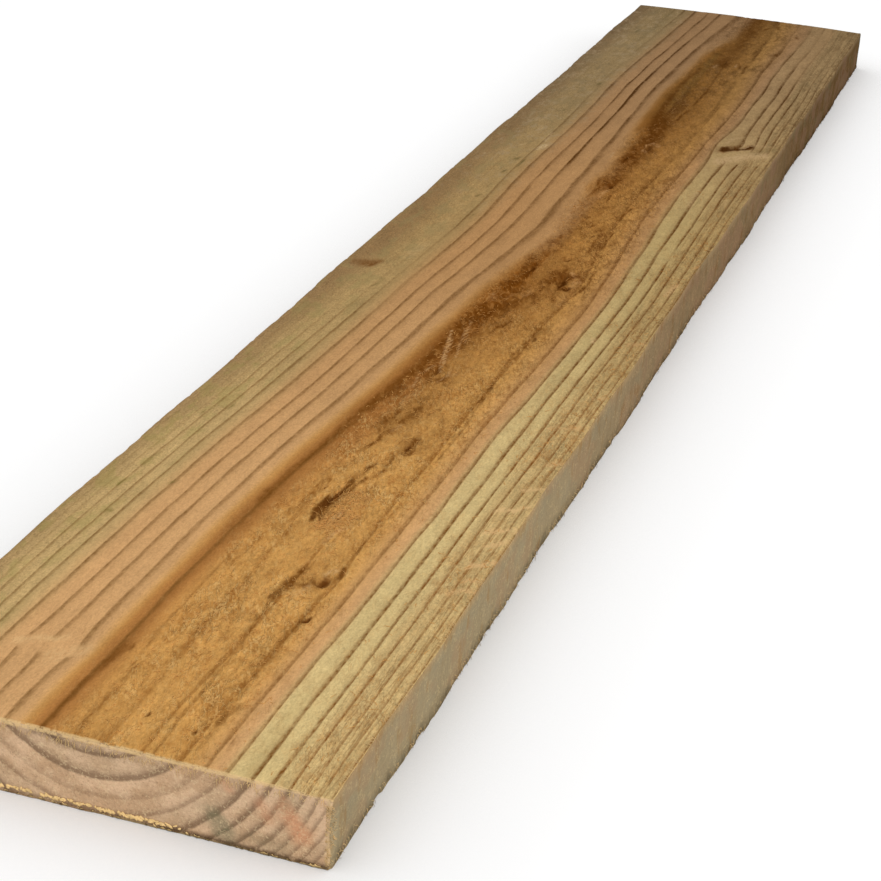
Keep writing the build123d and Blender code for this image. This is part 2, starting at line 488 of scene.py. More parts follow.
def refineTop(bm, along, across, halfLength, halfWide):
    # Smaller cells round a knot, pocket or split, so that its rim is crisp
    def inside(vert):
        near = abs(vert.co.y - along) < halfLength and abs(vert.co.x - across) < halfWide
        return near and vert.co.z > thickness - 0.01

    edges = [edge for edge in bm.edges if inside(edge.verts[0]) and inside(edge.verts[1])]
    bmesh.ops.subdivide_edges(bm, edges=edges, cuts=1, use_grid_fill=True)


def fuzzAt(x, y):
    # How torn the top face is, from 0 smooth to 1: the heartwood band tore under the saw
    pithX = pathAt(stem["pithPath"], y)[:, 0]
    fromPith = x - pithX + 3.0 * reliefNoise("heartRim", x, y)
    band = stepUp(-15, -5, fromPith) * (1 - 0.8 * stepUp(26, 38, fromPith))
    patches = 0.5 + 0.5 * reliefNoise("tornPatches", x, y)
    margin = 0.45 * stepUp(50, 62, fromPith)
    return np.clip(band * (0.25 + 0.9 * patches) + margin * patches + 0.1 * patches, 0.0, 1.0)


def topRelief(x, y, fuzz):
    late = lateWood(ringPhase(x, y, 0 * x + thickness)[1], 0.9, 0.08)
    relief = tornGrain["ringRise"] * (-late) * (1 - 0.6 * fuzz) - tornGrain["sink"] * (0.3 + 0.7 * fuzz)
    torn = reliefNoise("tears", x, y)
    relief += tornGrain["depth"] * fuzz * (torn - 0.6)
    gouge = reliefNoise("gouges", x, y)
    relief -= tornGrain["gougeDepth"] * stepUp(0.34, 0.66, gouge) * fuzz
    stroke = y + 0.06 * x + 2.5 * reliefNoise("sawWander", x, y)
    marks = softNoise(0 * x, stroke / sawMarks["topPitch"], x / 60, 49)
    patch = 0.5 + 0.5 * reliefNoise("sawPatches", x, y)
    relief += sawMarks["topDepth"] * (marks - 1.0) * patch
    relief += tornGrain["ripple"] * (reliefNoise("ripple", x, y) - 0.8)
    return relief


def topForms(x, y):
    # Hollows, the torn pocket and the spike knot, as a rise of the top face
    rise = 0 * x
    ragged = 1 + 0.35 * reliefNoise("hollowRims", x, y)
    for *mark, depth, turn in hollows:
        gap = np.hypot(*markShape(x, y, *mark, turn)) * ragged
        rise -= depth * (1 - stepUp(0.25, 1.05, gap))
    pocket = tornPocket
    lengthwise, side = markShape(x, y, *pocket["mark"], pocket["turn"])
    share = np.clip(1 - (lengthwise / pocket["halfLength"]) ** 2, 0, 1)
    steep = -pocket["bowSteep"] * share ** 0.8
    shallow = pocket["bowShallow"] * share ** 0.6
    ramp = np.clip((shallow - side) / np.maximum(shallow - steep, 0.5), 0, 1)
    rough = 0.1 * reliefNoise("pocketFloor", x, y)
    inside = (side > steep) & (side < shallow) & (share > 0)
    rise -= inside * np.clip(pocket["depth"] * ramp ** 0.75 * share ** 0.5 + rough * ramp, 0, 9)
    knot = spikeKnot
    lengthwise, side = markShape(x, y, *knot["split"], knot["splitTurn"])
    taper = 0.55 + 0.45 * stepUp(-1.0, 0.8, lengthwise)
    gap = np.hypot(lengthwise, side / taper) * (1 + 0.25 * reliefNoise("splitRim", x, y))
    rise -= knot["splitDepth"] * (1 - stepUp(0.45, 1.0, gap))
    gap = np.hypot(*markShape(x, y, *knot["ridge"], knot["ridgeTurn"]))
    rise += knot["ridgeRise"] * (1 - stepUp(0.7, 1.05, gap))
    return rise


def sideRelief(x, y, z, side):
    stroke = y + 0.18 * z + 1.5 * reliefNoise("sideWander", y, z)
    marks = softNoise(stroke / sawMarks["sidePitch"], z / 40, side, 72)
    beat = softNoise(stroke / sawMarks["sideBeatPitch"], z / 50, side, 73)
    farther = (y - nearY) / (farY - nearY)
    relief = sawMarks["sideDepth"] * (marks - 1.0) * 0.6
    relief += sawMarks["sideBeatDepth"] * (0.3 + 0.7 * farther) * (np.minimum(beat, 0.1) - 0.1)
    turn = math.pi * (stroke + 6 * side) / sawMarks["scallopPitch"] + reliefNoise("scallops", y, side)
    cusp = 1 - np.abs(np.sin(turn))
    relief -= sawMarks["scallopDepth"] * cusp * (1 - farther) * (side > 0)
    return relief + 0.08 * (layeredNoise(y / 6, z / 2.5, side, 74, 2) - 0.8)


def endRelief(x, y, z, side):
    relief = 0.12 * (lateWood(ringPhase(x, y, z)[1], 0.92, 0.07) - 1.0)
    relief += 0.16 * (layeredNoise(x / 1.3, z / 1.3, side, 81, 2) - 0.8)
    stroke = 0.35 * x + z + 1.2 * softNoise(x / 25, z / 25, side, 83)
    relief += sawMarks["endDepth"] * (softNoise(stroke / sawMarks["endPitch"], x / 50, side, 84) - 1.0)
    return relief


def arrisWear(y, side, seed):
    # How far a long arris is worn or nicked back
    wear = 0.10 * (1 + layeredNoise(y / 11, 0 * y, 0 * y + side, seed, 3))
    nicks = 0.45 * stepUp(0.45, 0.8, softNoise(y / 3.6, 0 * y, 0 * y + side, seed + 5))
    return wear + nicks


def endLip(x):
    # Reach of the torn lip along the foot of the near end
    along = np.clip(x + halfWidth, 0, sawnForm["lipLength"]) / sawnForm["lipLength"]
    tear = 0.66 + 0.34 * reliefNoise("lip", x, 0 * x)
    return sawnForm["lipReach"] * np.sin(math.pi * along ** 0.8) * tear


def shapeBlock(bm):
    # Moves every vertex of the block from its flat place to the sawn, worn and torn one
    flat = np.array([v.co for v in bm.verts], float)
    normal = np.array([v.normal for v in bm.verts], float)
    x, y, z = flat.T
    top, side, end = np.maximum(normal[:, 2], 0), np.abs(normal[:, 0]), np.abs(normal[:, 1])
    sideSign, endSign = np.sign(x), np.sign(y)
    fuzz = fuzzAt(x, y)

    # Sawn outline
    distance = y - nearY
    leftInset, rightInset = (edgeInset(distance, sawnForm[name]) for name in ("leftPhase", "rightPhase"))
    share = x / halfWidth
    newX = share * (halfWidth - np.where(x < 0, leftInset, rightInset))
    nearFace = nearY + sawnForm["lipReach"] + sawnForm["endSkew"] * (share + 1) / 2
    farFace = farY - sawnForm["farBow"] * share ** 2
    newY = nearFace + (farFace - nearFace) * distance / (farY - nearY)
    newZ = z - sawnForm["crown"] * share ** 2 * z / thickness

    # Faces, each along its own direction
    newZ += top ** 2 * (topRelief(x, y, fuzz) + topForms(newX, newY))
    newX += sideSign * side ** 2 * sideRelief(x, y, z, sideSign)
    newY += endSign * end ** 2 * endRelief(x, y, z, endSign)

    # Arrises
    fromSide = halfWidth - np.abs(x)
    fromTop = thickness - z
    wear = arrisWear(y, sideSign, 101) * np.exp(-(fromSide + fromTop) / 0.9)
    newX -= sideSign * wear * 0.6
    newZ -= wear * 0.5
    footWear = arrisWear(y, sideSign + 7, 121) * np.exp(-(fromSide + z) / 1.1)
    serration = stepUp(-0.2, 0.7, softNoise(y / 4.6, 0 * y, sideSign, 131)) * np.exp(-z / 3.5) * side
    newX -= sideSign * (footWear + 0.3 * serration)
    fromEnd = np.where(y < 0, y - nearY, farY - y)
    endWear = arrisWear(x, endSign + 3, 141) * np.exp(-(fromEnd + fromTop) / 0.9)
    newY -= endSign * endWear * 0.5
    newZ -= endWear * 0.3

    # Lip along the foot of the near end, and the corner that broke away
    near = (y < 0) * end ** 2
    newY -= near * endLip(newX) * (1 - stepUp(0.6, sawnForm["lipHeight"] + 0.6, z))
    corner = cornerBreak
    levels = [0, corner["height"], thickness]
    size = np.interp(z, levels, [corner["foot"], corner["middle"], corner["top"]])
    size = size * (1 + 0.35 * layeredNoise(z / 3.0, x / 3.0, y / 3.0, 151, 2))
    reach = (halfWidth - newX) + (newY - nearFace) / corner["lengthwise"]
    lack = np.clip(size - reach, 0, None) * (x > 0) * (y < 0)
    newX -= lack * 0.7
    newY += lack * 0.9

    margin = sawnForm["margin"]
    newX = np.clip(newX, plankLow.x + margin, plankHigh.x - margin)
    newY = np.clip(newY, plankLow.y + margin, plankHigh.y - margin)
    newZ = np.clip(newZ, 0.0, plankHigh.z - margin)
    newZ[z < margin] = 0.0
    return np.stack([newX, newY, newZ], axis=1), np.stack([top, side, end], axis=1), fuzz


# Strokes of colour on the top face: strength, half width, then places as (along, across)

brownStrokes = [
    (0.75, 1.7, (-474, -13.5), (-455, -14), (-440, -13.5), (-424, -12.5)),
    (0.4, 3.2, (-430, -12.5), (-380, -14), (-340, -14.5), (-310, -14)),
    (0.75, 1.9, (-315, -14), (-290, -13), (-265, -11), (-235, -9.5), (-215, -7)),
    (0.3, 5.5, (-340, -11), (-250, -8), (-210, -5)),
    (0.9, 2.2, (-225, -8), (-200, -6), (-180, -3.5), (-160, -2), (-130, -2), (-112, -1)),
    (0.55, 4.5, (-185, 0), (-160, 1), (-130, 1), (-112, 1)),
    (0.45, 5.5, (-205, -3), (-160, -4), (-120, -3)),
    (0.3, 7.0, (-235, 6), (-200, 10), (-150, 10), (-110, 12)), (0.28, 7.0, (-150, 4), (-120, 5), (-90, 5)),
    (0.28, 8.0, (-95, 16), (-60, 21), (-45, 21)), (0.55, 0.8, (-345, 29.6), (-320, 30), (-300, 31)),
    (0.6, 0.8, (-262, 31), (-230, 31), (-205, 29.6), (-185, 28.8), (-150, 26.6)),
    (0.8, 0.9, (-203, 29.4), (-198, 29.2)), (0.75, 0.9, (-193, 29), (-187, 28.6)),
    (0.8, 1.0, (-134, 30.5), (-128, 30)), (0.5, 0.8, (-150, 27), (-135, 28), (-110, 29.6), (-90, 31)),
    (0.55, 1.2, (-240, 35), (-238, 36)),
    (0.55, 0.7, (-474, -5.5), (-445, -5), (-430, -5.5), (-415, -7), (-390, -7.5), (-350, -7.3)),
    (0.4, 0.6, (-426, -3), (-418, -3)),
    (0.6, 0.9, (-474, 20.5), (-450, 19.5), (-435, 19.5), (-415, 19), (-395, 17.5), (-380, 16.5)),
    (0.85, 1.7, (-377, 16), (-366, 17), (-354, 18.5)), (1.3, 1.4, (-361, 26.8), (-360, 27)),
    (0.5, 3.4, (-364, 27), (-358, 28)), (0.8, 1.0, (-357, 31), (-350, 30)),
    (0.7, 0.8, (-352, 24), (-350, 24)), (0.5, 1.2, (-367, 20), (-364, 24)),
    (1.2, 0.8, (-386.5, 31.2), (-385, 31.6)),
    (0.5, 1.5, (-465, 30.8), (-447, 30.5), (-430, 30), (-400, 29.8), (-378, 30.2)),
    (0.85, 1.2, (-450, 30.4), (-446, 30.4)), (0.8, 1.0, (-442, 32.5), (-440, 32.5)),
    (0.75, 1.0, (-395, 29.6), (-389, 30)), (0.6, 0.9, (-462, 38.6), (-456, 38.2)),
    (0.55, 3.0, (-368, 20), (-362, 22)), (0.95, 1.0, (-457.5, 26), (-456.5, 26)),
    (0.4, 0.8, (-464, 26), (-463, 26)), (0.95, 0.7, (-455, 10.3), (-454, 10.3)),
    # The strokes from (-323, 7.4) through the one ending at (-273, 11.3) darken the torn pocket along its
    # steep wall: painted shade in the hollow, over its brown floor
    (0.8, 0.9, (-424, -10.5), (-422.5, -10.5)), (0.85, 1.1, (-323, 7.4), (-317, 6.2), (-310, 5.6)),
    (0.8, 1.9, (-317, 7.2), (-310, 6.6), (-304, 7.2)),
    (1.05, 0.9, (-321, 7.1), (-314, 6.3), (-306, 6.0), (-299, 7.2)), (1.0, 0.6, (-299, 7.2), (-292, 9)),
    (0.9, 1.2, (-304, 6.4), (-297, 7.8), (-290, 9.4)),
    (0.75, 1.4, (-290, 9.3), (-284, 9.2), (-278, 10.6), (-273, 11.3)),
    (0.5, 2.2, (-310, 9), (-302, 9.5), (-294, 11)), (0.9, 0.9, (-295, 11), (-291.5, 11.6)),
    (0.9, 0.9, (-288.5, 12.3), (-284.5, 12.8)), (0.75, 0.8, (-283, 14.6), (-279, 15.6)),
    (0.7, 0.9, (-276, 16.6), (-272, 15.8)), (0.65, 0.7, (-270, 16.6), (-266, 15.6)),
    # The stroke from (-316, 15.3) to (-313, 15.6) is a painted shadow of a torn whisker beside the pocket
    (0.8, 0.7, (-265, 16), (-262, 15)), (0.9, 0.8, (-316, 15.3), (-313, 15.6)),
    (0.6, 0.8, (-313, 12.6), (-310.5, 13.2)), (0.9, 0.6, (-297.8, 2.6), (-297, 2.8)),
    (1.1, 0.8, (-256.5, 18.3), (-251, 17.5)), (0.75, 1.5, (-259, 19), (-248, 18)),
    (0.6, 3.0, (-257, 17), (-247, 18)), (0.7, 0.9, (-259, 20.5), (-254, 20.5)),
    (0.45, 3.2, (-255, 23), (-235, 24), (-225, 22)), (0.8, 0.8, (-263, 3), (-259, 4)),
    (0.9, 0.9, (-257, 5), (-252, 6)), (0.8, 0.7, (-250, 5.5), (-246, 5)),
    (0.9, 0.9, (-245, 3.5), (-241, 3)), (0.8, 0.7, (-246, 7), (-242, 6)),
    (0.85, 1.6, (-240, 2), (-233, 2.5)), (0.95, 1.3, (-230, 2.6), (-225.5, 4)),
    (0.8, 1.5, (-233, 8), (-226, 10)), (0.95, 1.4, (-224.5, 10.5), (-221, 9.5)),
    (0.45, 6.0, (-240, 8), (-218, 9)), (0.7, 1.0, (-222, 15), (-217, 17)),
    (0.95, 2.0, (-186, 3), (-182, 4.6), (-177, 4.6)), (1.0, 0.8, (-183, 5), (-178, 4.6)),
    (0.9, 1.4, (-190, 9), (-186, 10)), (0.7, 1.0, (-193, 5), (-190, 7)),
    (0.8, 1.6, (-158, 4), (-150, 5), (-143, 4)), (0.8, 0.8, (-134, 6), (-128, 5.5)),
    (0.7, 0.6, (-134, 11), (-129, 12)), (0.9, 0.9, (-126, 12.5), (-121, 14)),
    (0.9, 0.8, (-119, 15), (-116, 15)), (0.92, 2.2, (-107, 0), (-105.5, 3), (-104, 6)),
    (0.8, 2.6, (-122, 0), (-113, 2)), (0.5, 3.0, (-112, 6), (-106, 8)), (0.88, 2.0, (-97, 9.5), (-93, 12)),
    (0.8, 0.6, (-97, 3.4), (-91, 3.9), (-86, 3.7)), (0.95, 1.4, (-83, 6), (-80.5, 9)),
    (0.7, 1.3, (-86.5, 13.5), (-85, 16.5)), (0.92, 2.0, (-76, 0), (-75, 4)), (0.6, 2.6, (-80, 3), (-70, 5)),
    (0.88, 1.4, (-67, 0.5), (-65, 3.5)), (0.7, 1.2, (-72, 6), (-62, 5)),
    (0.8, 0.7, (-74.5, 16.5), (-71.5, 16.8)), (0.8, 0.8, (-79.5, 17), (-77.5, 16.4)),
    (0.8, 0.9, (-92, 18.5), (-89.5, 18.5)), (1.2, 1.3, (-66, 22.6), (-62, 22.4), (-58, 21.4)),
    (0.8, 2.2, (-67, 22.6), (-55, 20.5)), (0.98, 1.1, (-65, 17.6), (-58, 18.2), (-52, 18.6), (-47, 20)),
    (0.95, 2.0, (-63, 15.8), (-54, 16)), (0.9, 1.6, (-57, 24.5), (-53, 25.5)),
    (1.0, 1.3, (-70, 24.8), (-69.5, 27)), (0.75, 1.1, (-88, 25.5), (-82, 23.6), (-79.5, 22.6)),
    (0.4, 6.0, (-80, 14), (-64, 19), (-50, 19)),
    (0.92, 0.9, (-76, 31.4), (-67, 33), (-58, 33.3), (-50, 32.6), (-43, 31.6)),
    (0.7, 0.9, (-56, 29), (-52, 28)), (1.0, 1.1, (-55, 5.9), (-49, 5.4)),
    (0.7, 1.3, (-49, 5.4), (-40, 4.6)), (0.7, 2.4, (-58, 4), (-44, 2), (-38, 0)),
    (0.85, 0.8, (-31.5, 14.6), (-34.5, 15.6), (-34.8, 17.6), (-32.5, 19.3)),
    (0.35, 4.5, (-125, 3), (-100, 3), (-70, 4), (-45, 4)),
    (0.28, 7.0, (-110, 8), (-80, 10), (-50, 10), (0, 5), (60, 5), (120, 5)),
    (0.5, 1.0, (-24, 9.5), (-18, 9)), (0.4, 2.4, (-25, 1), (-10, 2)), (0.4, 3.5, (-30, 5), (5, 8)),
    (0.5, 1.2, (-12, 5), (-4, 6)), (0.5, 1.0, (22, 9), (30, 9.5)),
    (0.7, 1.5, (-20, 22.5), (-8, 22), (8, 22)), (0.9, 0.8, (-10, 27.5), (-2, 26.5), (12, 26)),
    (0.7, 1.3, (10, 18), (13, 20)), (0.8, 1.1, (16, 14), (19, 15)),
    (0.9, 0.9, (33, 24.5), (42, 24), (52, 25)), (0.5, 1.2, (46, 13), (50, 16)),
    (0.3, 5.0, (20, 5), (60, 5)), (0.8, 0.7, (60, 1.5), (70, 2), (78, 3)), (0.7, 0.6, (58, 11.5), (66, 11)),
    (0.95, 2.2, (77, 6), (82, 7)), (1.0, 1.0, (78, 6.5), (81, 7)), (0.8, 3.2, (83, 4), (92, 8)),
    (0.9, 0.9, (80, 0.5), (90, -1)), (0.6, 5.5, (90, 6), (128, 6)),
    (0.9, 2.6, (127, 2), (131, 4), (140, 3.5), (152, 3)), (1.0, 0.9, (128, 3), (134, 4)),
    (0.9, 1.2, (128, 6), (138, 6)), (0.9, 1.2, (149, 8), (153, 6.5), (156, 8), (154, 10.5)),
    (0.7, 1.0, (146, 11), (152, 12)), (0.6, 6.0, (130, 7), (165, 8), (200, 7)),
    (0.9, 4.6, (166, 6), (185, 6), (202, 4)), (0.9, 3.4, (195, 2), (218, 0)),
    (0.9, 2.2, (212, -0.5), (235, -2), (262, -3)),
    (0.65, 1.8, (262, -3), (285, -4), (310, -3), (328, -1.5)), (0.5, 3.0, (205, 4), (235, 4)),
    (0.85, 1.1, (212, 11), (225, 11), (236, 12.5)), (0.85, 1.0, (247, 12.5), (262, 12.5), (285, 13)),
    (0.7, 0.9, (285, 12.5), (310, 11.5), (340, 10.5)), (0.95, 2.8, (343, 10), (350, 9.5), (354, 8)),
    (1.0, 0.9, (349, 9.6), (352, 8.8)), (0.9, 0.8, (343, 19.5), (351, 19)),
    (0.9, 1.0, (332, 23.5), (345, 22.5), (350, 23.5)),
    (0.65, 8.5, (355, 9), (400, 8.5), (440, 7), (474, 6.5)), (0.55, 7.0, (432, 7.5), (474, 6.5)),
    (0.5, 2.5, (395, 9), (410, 8)), (0.9, 1.0, (447, 15), (452, 17)), (0.9, 1.5, (454, 23), (459, 22)),
    (0.9, 1.1, (384, 34.5), (389, 33.5)), (0.9, 1.2, (435, 39), (440, 37)),
    (0.5, 0.9, (373, 43), (390, 43)), (0.6, 0.9, (420, 26.5), (435, 28)),
    (0.5, 0.8, (360, 35), (372, 34.5)), (1.7, 2.2, (172, 46), (176, 50), (180, 55), (183, 57.5)),
    (0.35, 5.0, (168, 42), (172, 46)), (0.85, 1.5, (-79.5, -61.5), (-75.5, -60)),
    (0.5, 3.4, (-79, -65), (-75, -60)), (0.55, 2.2, (-78, -70), (-77, -64)),
]

# The darkest strokes: knot cores, and the painted shade on the torn pocket's steep wall
darkCoresAndShade = [stroke for stroke in brownStrokes if stroke[0] >= 1]

oliveStrokes = [
    (0.9, 0.8, (-325, -64), (-320, -63.5)), (0.6, 1.2, (-305, -63), (-295, -62)),
    (0.8, 1.3, (-345, -58.5), (-344, -57)), (0.8, 0.9, (-317, -47.8), (-315, -47)),
    (0.5, 1.3, (-425, -53), (-418, -53)), (0.8, 0.9, (-248, -55), (-246, -54.5)),
    (0.7, 0.8, (-258, -62.5), (-255, -62.5)), (0.8, 1.1, (-103, -51.5), (-101, -50.5)),
    (0.6, 0.8, (-98, -50), (-92, -50)), (0.7, 0.9, (-72, -42), (-71, -41)),
    (0.5, 0.8, (-70, -50), (-66, -49.5)), (0.6, 0.9, (5, -41.5), (8, -40.5)),
    (0.9, 0.9, (34, -48.5), (37, -48)), (0.6, 0.8, (51, -48), (53, -47.5)),
    (0.9, 1.0, (78, -49), (81, -48)), (1.0, 0.8, (90, -44.5), (102, -44.5)),
    (0.9, 1.4, (102, -49), (105, -48)), (0.6, 0.8, (80, -69), (81, -68)),
    (0.7, 0.8, (202, -51.5), (204, -51)), (0.7, 1.3, (264, -48), (268, -47)),
    (0.8, 1.0, (398, -58.5), (406, -58.5)), (0.5, 0.6, (232, -57), (245, -60)),
    (0.5, 0.6, (260, -55), (280, -59)), (0.35, 5.0, (-380, -73), (-330, -71), (-290, -72)),
    (0.3, 6.0, (-270, -70), (-200, -68), (-120, -66)), (0.35, 3.5, (-430, 47), (-470, 48)),
    (0.3, 3.0, (-380, 47), (-330, 48)), (0.5, 1.2, (70, 52.7), (80, 52.7)),
    (0.35, 2.5, (-160, 50), (-110, 51)), (0.5, 3.0, (172, 62), (186, 70)), (0.3, 3.0, (280, 54), (310, 53)),
    (0.3, 5.0, (290, 62), (330, 64)), (0.4, 4.0, (380, -52), (420, -50), (465, -50)),
]

paleStrokes = [
    (0.6, 1.6, (-433, -44), (-429, -38), (-426, -31)), (0.5, 3.0, (-437, -30), (-430, -22)),
    (1.8, 0.9, (-123.5, 53.5), (-122, 52.5)), (0.6, 2.2, (-322, 13), (-312, 14)),
    (0.5, 1.2, (-335, 17), (-322, 19)), (0.5, 2.2, (-372, 22), (-368, 24)),
    (0.6, 1.4, (-357, 26), (-352, 28)), (0.5, 1.2, (-243, 8), (-238, 9)), (0.4, 2.5, (-215, 2), (-205, 4)),
    (0.95, 0.55, (-182, 6), (-170, 2.5), (-155, -0.5), (-137, -4)),
    (0.9, 0.5, (-174, 5), (-160, 1.5), (-145, -1)), (0.8, 0.5, (-165, 7), (-150, 3.5), (-132, 0.5)),
    (0.8, 0.5, (-150, 6), (-138, 2.5), (-124, 0)), (0.8, 0.5, (-200, 1), (-188, -1), (-176, 2)),
    (0.7, 0.6, (-192, 8), (-184, 10), (-176, 8)), (0.5, 0.9, (-185, 11), (-182, 12.5)),
    (0.45, 3.0, (-90, 28), (-78, 28)), (0.4, 1.8, (-60, 27), (-56, 26.5)),
    (0.9, 1.0, (-52, 25.5), (-49, 23)), (0.7, 2.2, (-65, 28), (-60, 28.5)),
    (0.5, 2.4, (-84, 12), (-80, 12.5)), (0.5, 2.0, (-96, 1), (-91, -1)), (0.5, 1.0, (-93, 6), (-87, 7)),
    (0.9, 1.6, (61, 6.5), (66, 6), (72, 7)), (0.5, 1.5, (46, 19), (52, 20)), (0.8, 1.4, (150, 7), (152, 8)),
    (0.8, 1.3, (159, 7), (163, 9), (161, 13)), (0.6, 0.8, (128, -5), (136, -6)),
    (0.7, 1.6, (336, 5), (342, 5.5)), (0.8, 0.9, (345, 17), (350, 16)), (0.6, 1.8, (172, 36), (185, 37)),
    (1.1, 3.6, (150, 48), (158, 54), (166, 61), (171, 68)), (0.7, 1.5, (185, 45), (195, 47), (198, 50)),
    (0.6, 1.6, (186, 54), (188, 60), (189, 68)), (1.0, 2.0, (126, -43), (131, -42)),
    (0.6, 1.7, (140, -44), (156, -45)), (0.6, 1.2, (127, -54), (129, -53)),
    (0.5, 1.3, (105, -67), (107, -65)), (0.5, 1.6, (160, -53), (165, -54)),
    (0.5, 1.5, (177, -59), (178, -57)), (0.5, 1.5, (184, -49), (188, -48)),
    (0.5, 1.0, (232, -45), (236, -45)), (0.7, 1.2, (437, -43.5), (442, -43)),
    (0.5, 2.2, (452, -45), (470, -48)), (0.5, 2.0, (320, -48), (335, -46)),
    (0.35, 3.0, (370, -45), (420, -43)), (0.35, 4.0, (-60, -50), (-45, -48)),
    (1.0, 1.2, (-350, 66), (-347, 70), (-346, 74)), (0.9, 1.0, (-341, 68), (-338, 74)),
    (1.0, 1.4, (-330, 66), (-328, 70), (-325, 74)), (0.9, 1.1, (-314, 67), (-310, 73)),
    (0.9, 1.3, (-305, 64), (-302, 70), (-300, 73)), (1.0, 1.1, (-288, 63), (-286, 68), (-282, 72)),
    (0.8, 1.1, (-269, 66), (-265, 73)), (0.8, 1.1, (-245, 68), (-242, 73)),
    (0.8, 1.1, (-214, 60), (-212, 65), (-208, 71)), (0.7, 1.0, (-180, 68), (-177, 73)),
    (0.7, 1.2, (-120, 67), (-116, 73)), (0.9, 2.0, (-54, 68), (-42, 69)), (0.9, 1.4, (-16, 72), (-11, 74)),
    (0.5, 1.0, (-30, 49), (-26, 48)), (0.5, 2.0, (70, 50), (95, 49)), (0.5, 1.3, (78, 66), (88, 65)),
    (0.5, 1.6, (362, 38), (368, 40)), (0.4, 2.0, (424, 48), (430, 48)),
]

# Patches of colour on the near end, as (height, across) in place of (along, across)
endGreen = [
    (0.9, 4.0, (6, 41), (3, 43)), (0.6, 3.0, (10, 38), (7, 40)), (0.6, 3.0, (21, 62), (17, 60)),
    (0.5, 4.0, (4, 52), (3, 60)),
]
endSalmon = [
    (0.9, 3.2, (17, 60), (10, 65)), (0.6, 2.6, (16, 53), (12, 55)), (0.6, 2.0, (20, 42), (18, 44)),
    (0.5, 2.4, (8, 64), (9, 67)),
]
endGrey = [
    (0.9, 2.4, (23, -16), (22, -9)), (0.6, 2.0, (21, -6), (20.5, 0), (20, 8)),
    (0.3, 1.5, (20, 14), (21, 17)),
]

# How plainly the ring lines show on the end grain, by ring radius
endLineRadii = [26, 28, 31, 35, 40, 43, 47, 55, 69, 72]
endLineShares = [0.1, 0.6, 1, 1, 0.9, 0.35, 0.5, 1, 1, 0.7]


def strokeField(x, y, strokes, seed, stretch=0.5):
    # Soft painted strokes, their rims pulled about by noise; lengths along the grain count for less
    scaledY = (y + 1.4 * flatNoise(x / 2.2, y / 5.0, seed + 3, 2)) * stretch
    shiftedX = x + 0.4 * flatNoise(x / 2.6, y / 4.0, seed, 2)
    total = 0 * x
    for strength, halfWide, *places in strokes:
        best = 0 * x
        reach = 2.4 * halfWide + 1.5
        for (startY, startX), (endY, endX) in zip(places, places[1:]):
            middleX, middleY = (startX + endX) / 2, (startY + endY) / 2
            near = np.abs(x - middleX) < abs(endX - startX) / 2 + reach
            near &= np.abs(y - middleY) < abs(endY - startY) / 2 + reach / stretch
            close = np.where(near)[0]
            runX, runY = endX - startX, (endY - startY) * stretch
            fromX, fromY = shiftedX[close] - startX, scaledY[close] - startY * stretch
            share = np.clip((fromX * runX + fromY * runY) / max(runX ** 2 + runY ** 2, 0.01), 0, 1)
            gap = np.hypot(fromX - share * runX, fromY - share * runY) / halfWide
            best[close] = np.maximum(best[close], strength * np.exp(-gap ** 2))
        total = 1 - (1 - np.minimum(total, 0.99)) * (1 - np.minimum(best, 0.9)) + np.maximum(best - 1, 0)
    return total


def lineStrengthAt(x, y, z, facing):
    # How plainly each place shows its latewood line
    fade = 1 + 0 * x
    for *mark, share in lineFades:
        gap = np.hypot(*markShape(x, y, *mark))
        fade = fade * (1 - share * (1 - stepUp(0.7, 1.15, gap)))
    radius = ringPhase(x, y, z)[0]
    outer = 1 - 0.25 * stepUp(62, 72, radius) - 0.5 * (x < 0) * stepUp(71.5, 75, radius)
    onTop = fade * (0.72 + 0.23 * stepUp(40, 48, x)) * outer
    return onTop * facing[:, 0] + np.interp(radius, endLineRadii, endLineShares) * facing[:, 2]


def setField(mesh, name, *columns):
    values = np.stack(columns, axis=1).astype(np.float32)
    mesh.attributes.new(name, "FLOAT_VECTOR", "POINT").data.foreach_set("vector", values.ravel())


def finishMesh(mesh):
    for polygon in mesh.polygons:
        polygon.use_smooth = True
    print(mesh.name, sum(len(p.vertices) - 2 for p in mesh.polygons), "triangles")


def makePlank():
    bm = makeBlock()
    place, facing, fuzz = shapeBlock(bm)
    for vert, spot in zip(bm.verts, place):
        vert.co = spot * millimetre
    bm.normal_update()
    mesh = meshFrom(bm, "sawnPlank")
    x, y, z = place.T
    onTop, onEnd = (facing[:, 0] > 0.4), (facing[:, 2] > 0.4) * (y < 0)
    salmon = strokeField(x, z, endSalmon, 241, 1.0) * onEnd
    coresAndShade = strokeField(x, y, darkCoresAndShade, 205) * onTop
    brown = strokeField(x, y, brownStrokes, 201) * onTop + strokeField(x, z, endGrey, 231, 1.0) * onEnd
    olive = strokeField(x, y, oliveStrokes, 211) * onTop + strokeField(x, z, endGreen, 236, 1.0) * onEnd
    pale = strokeField(x, y, paleStrokes, 221) * onTop
    setField(mesh, "facing", *facing.T)
    setField(mesh, "grain", *grainAt(x, y, z))
    setField(mesh, "detail", fuzz * onTop, lineStrengthAt(x, y, z, facing), salmon + coresAndShade)
    setField(mesh, "stains", brown, olive, pale)
    finishMesh(mesh)
    plank = addObject("sawnPlank", mesh)
    plank.data.materials.append(makeTimber())
    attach(plank, "root")
    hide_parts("plank")
    return plank


# Timber material

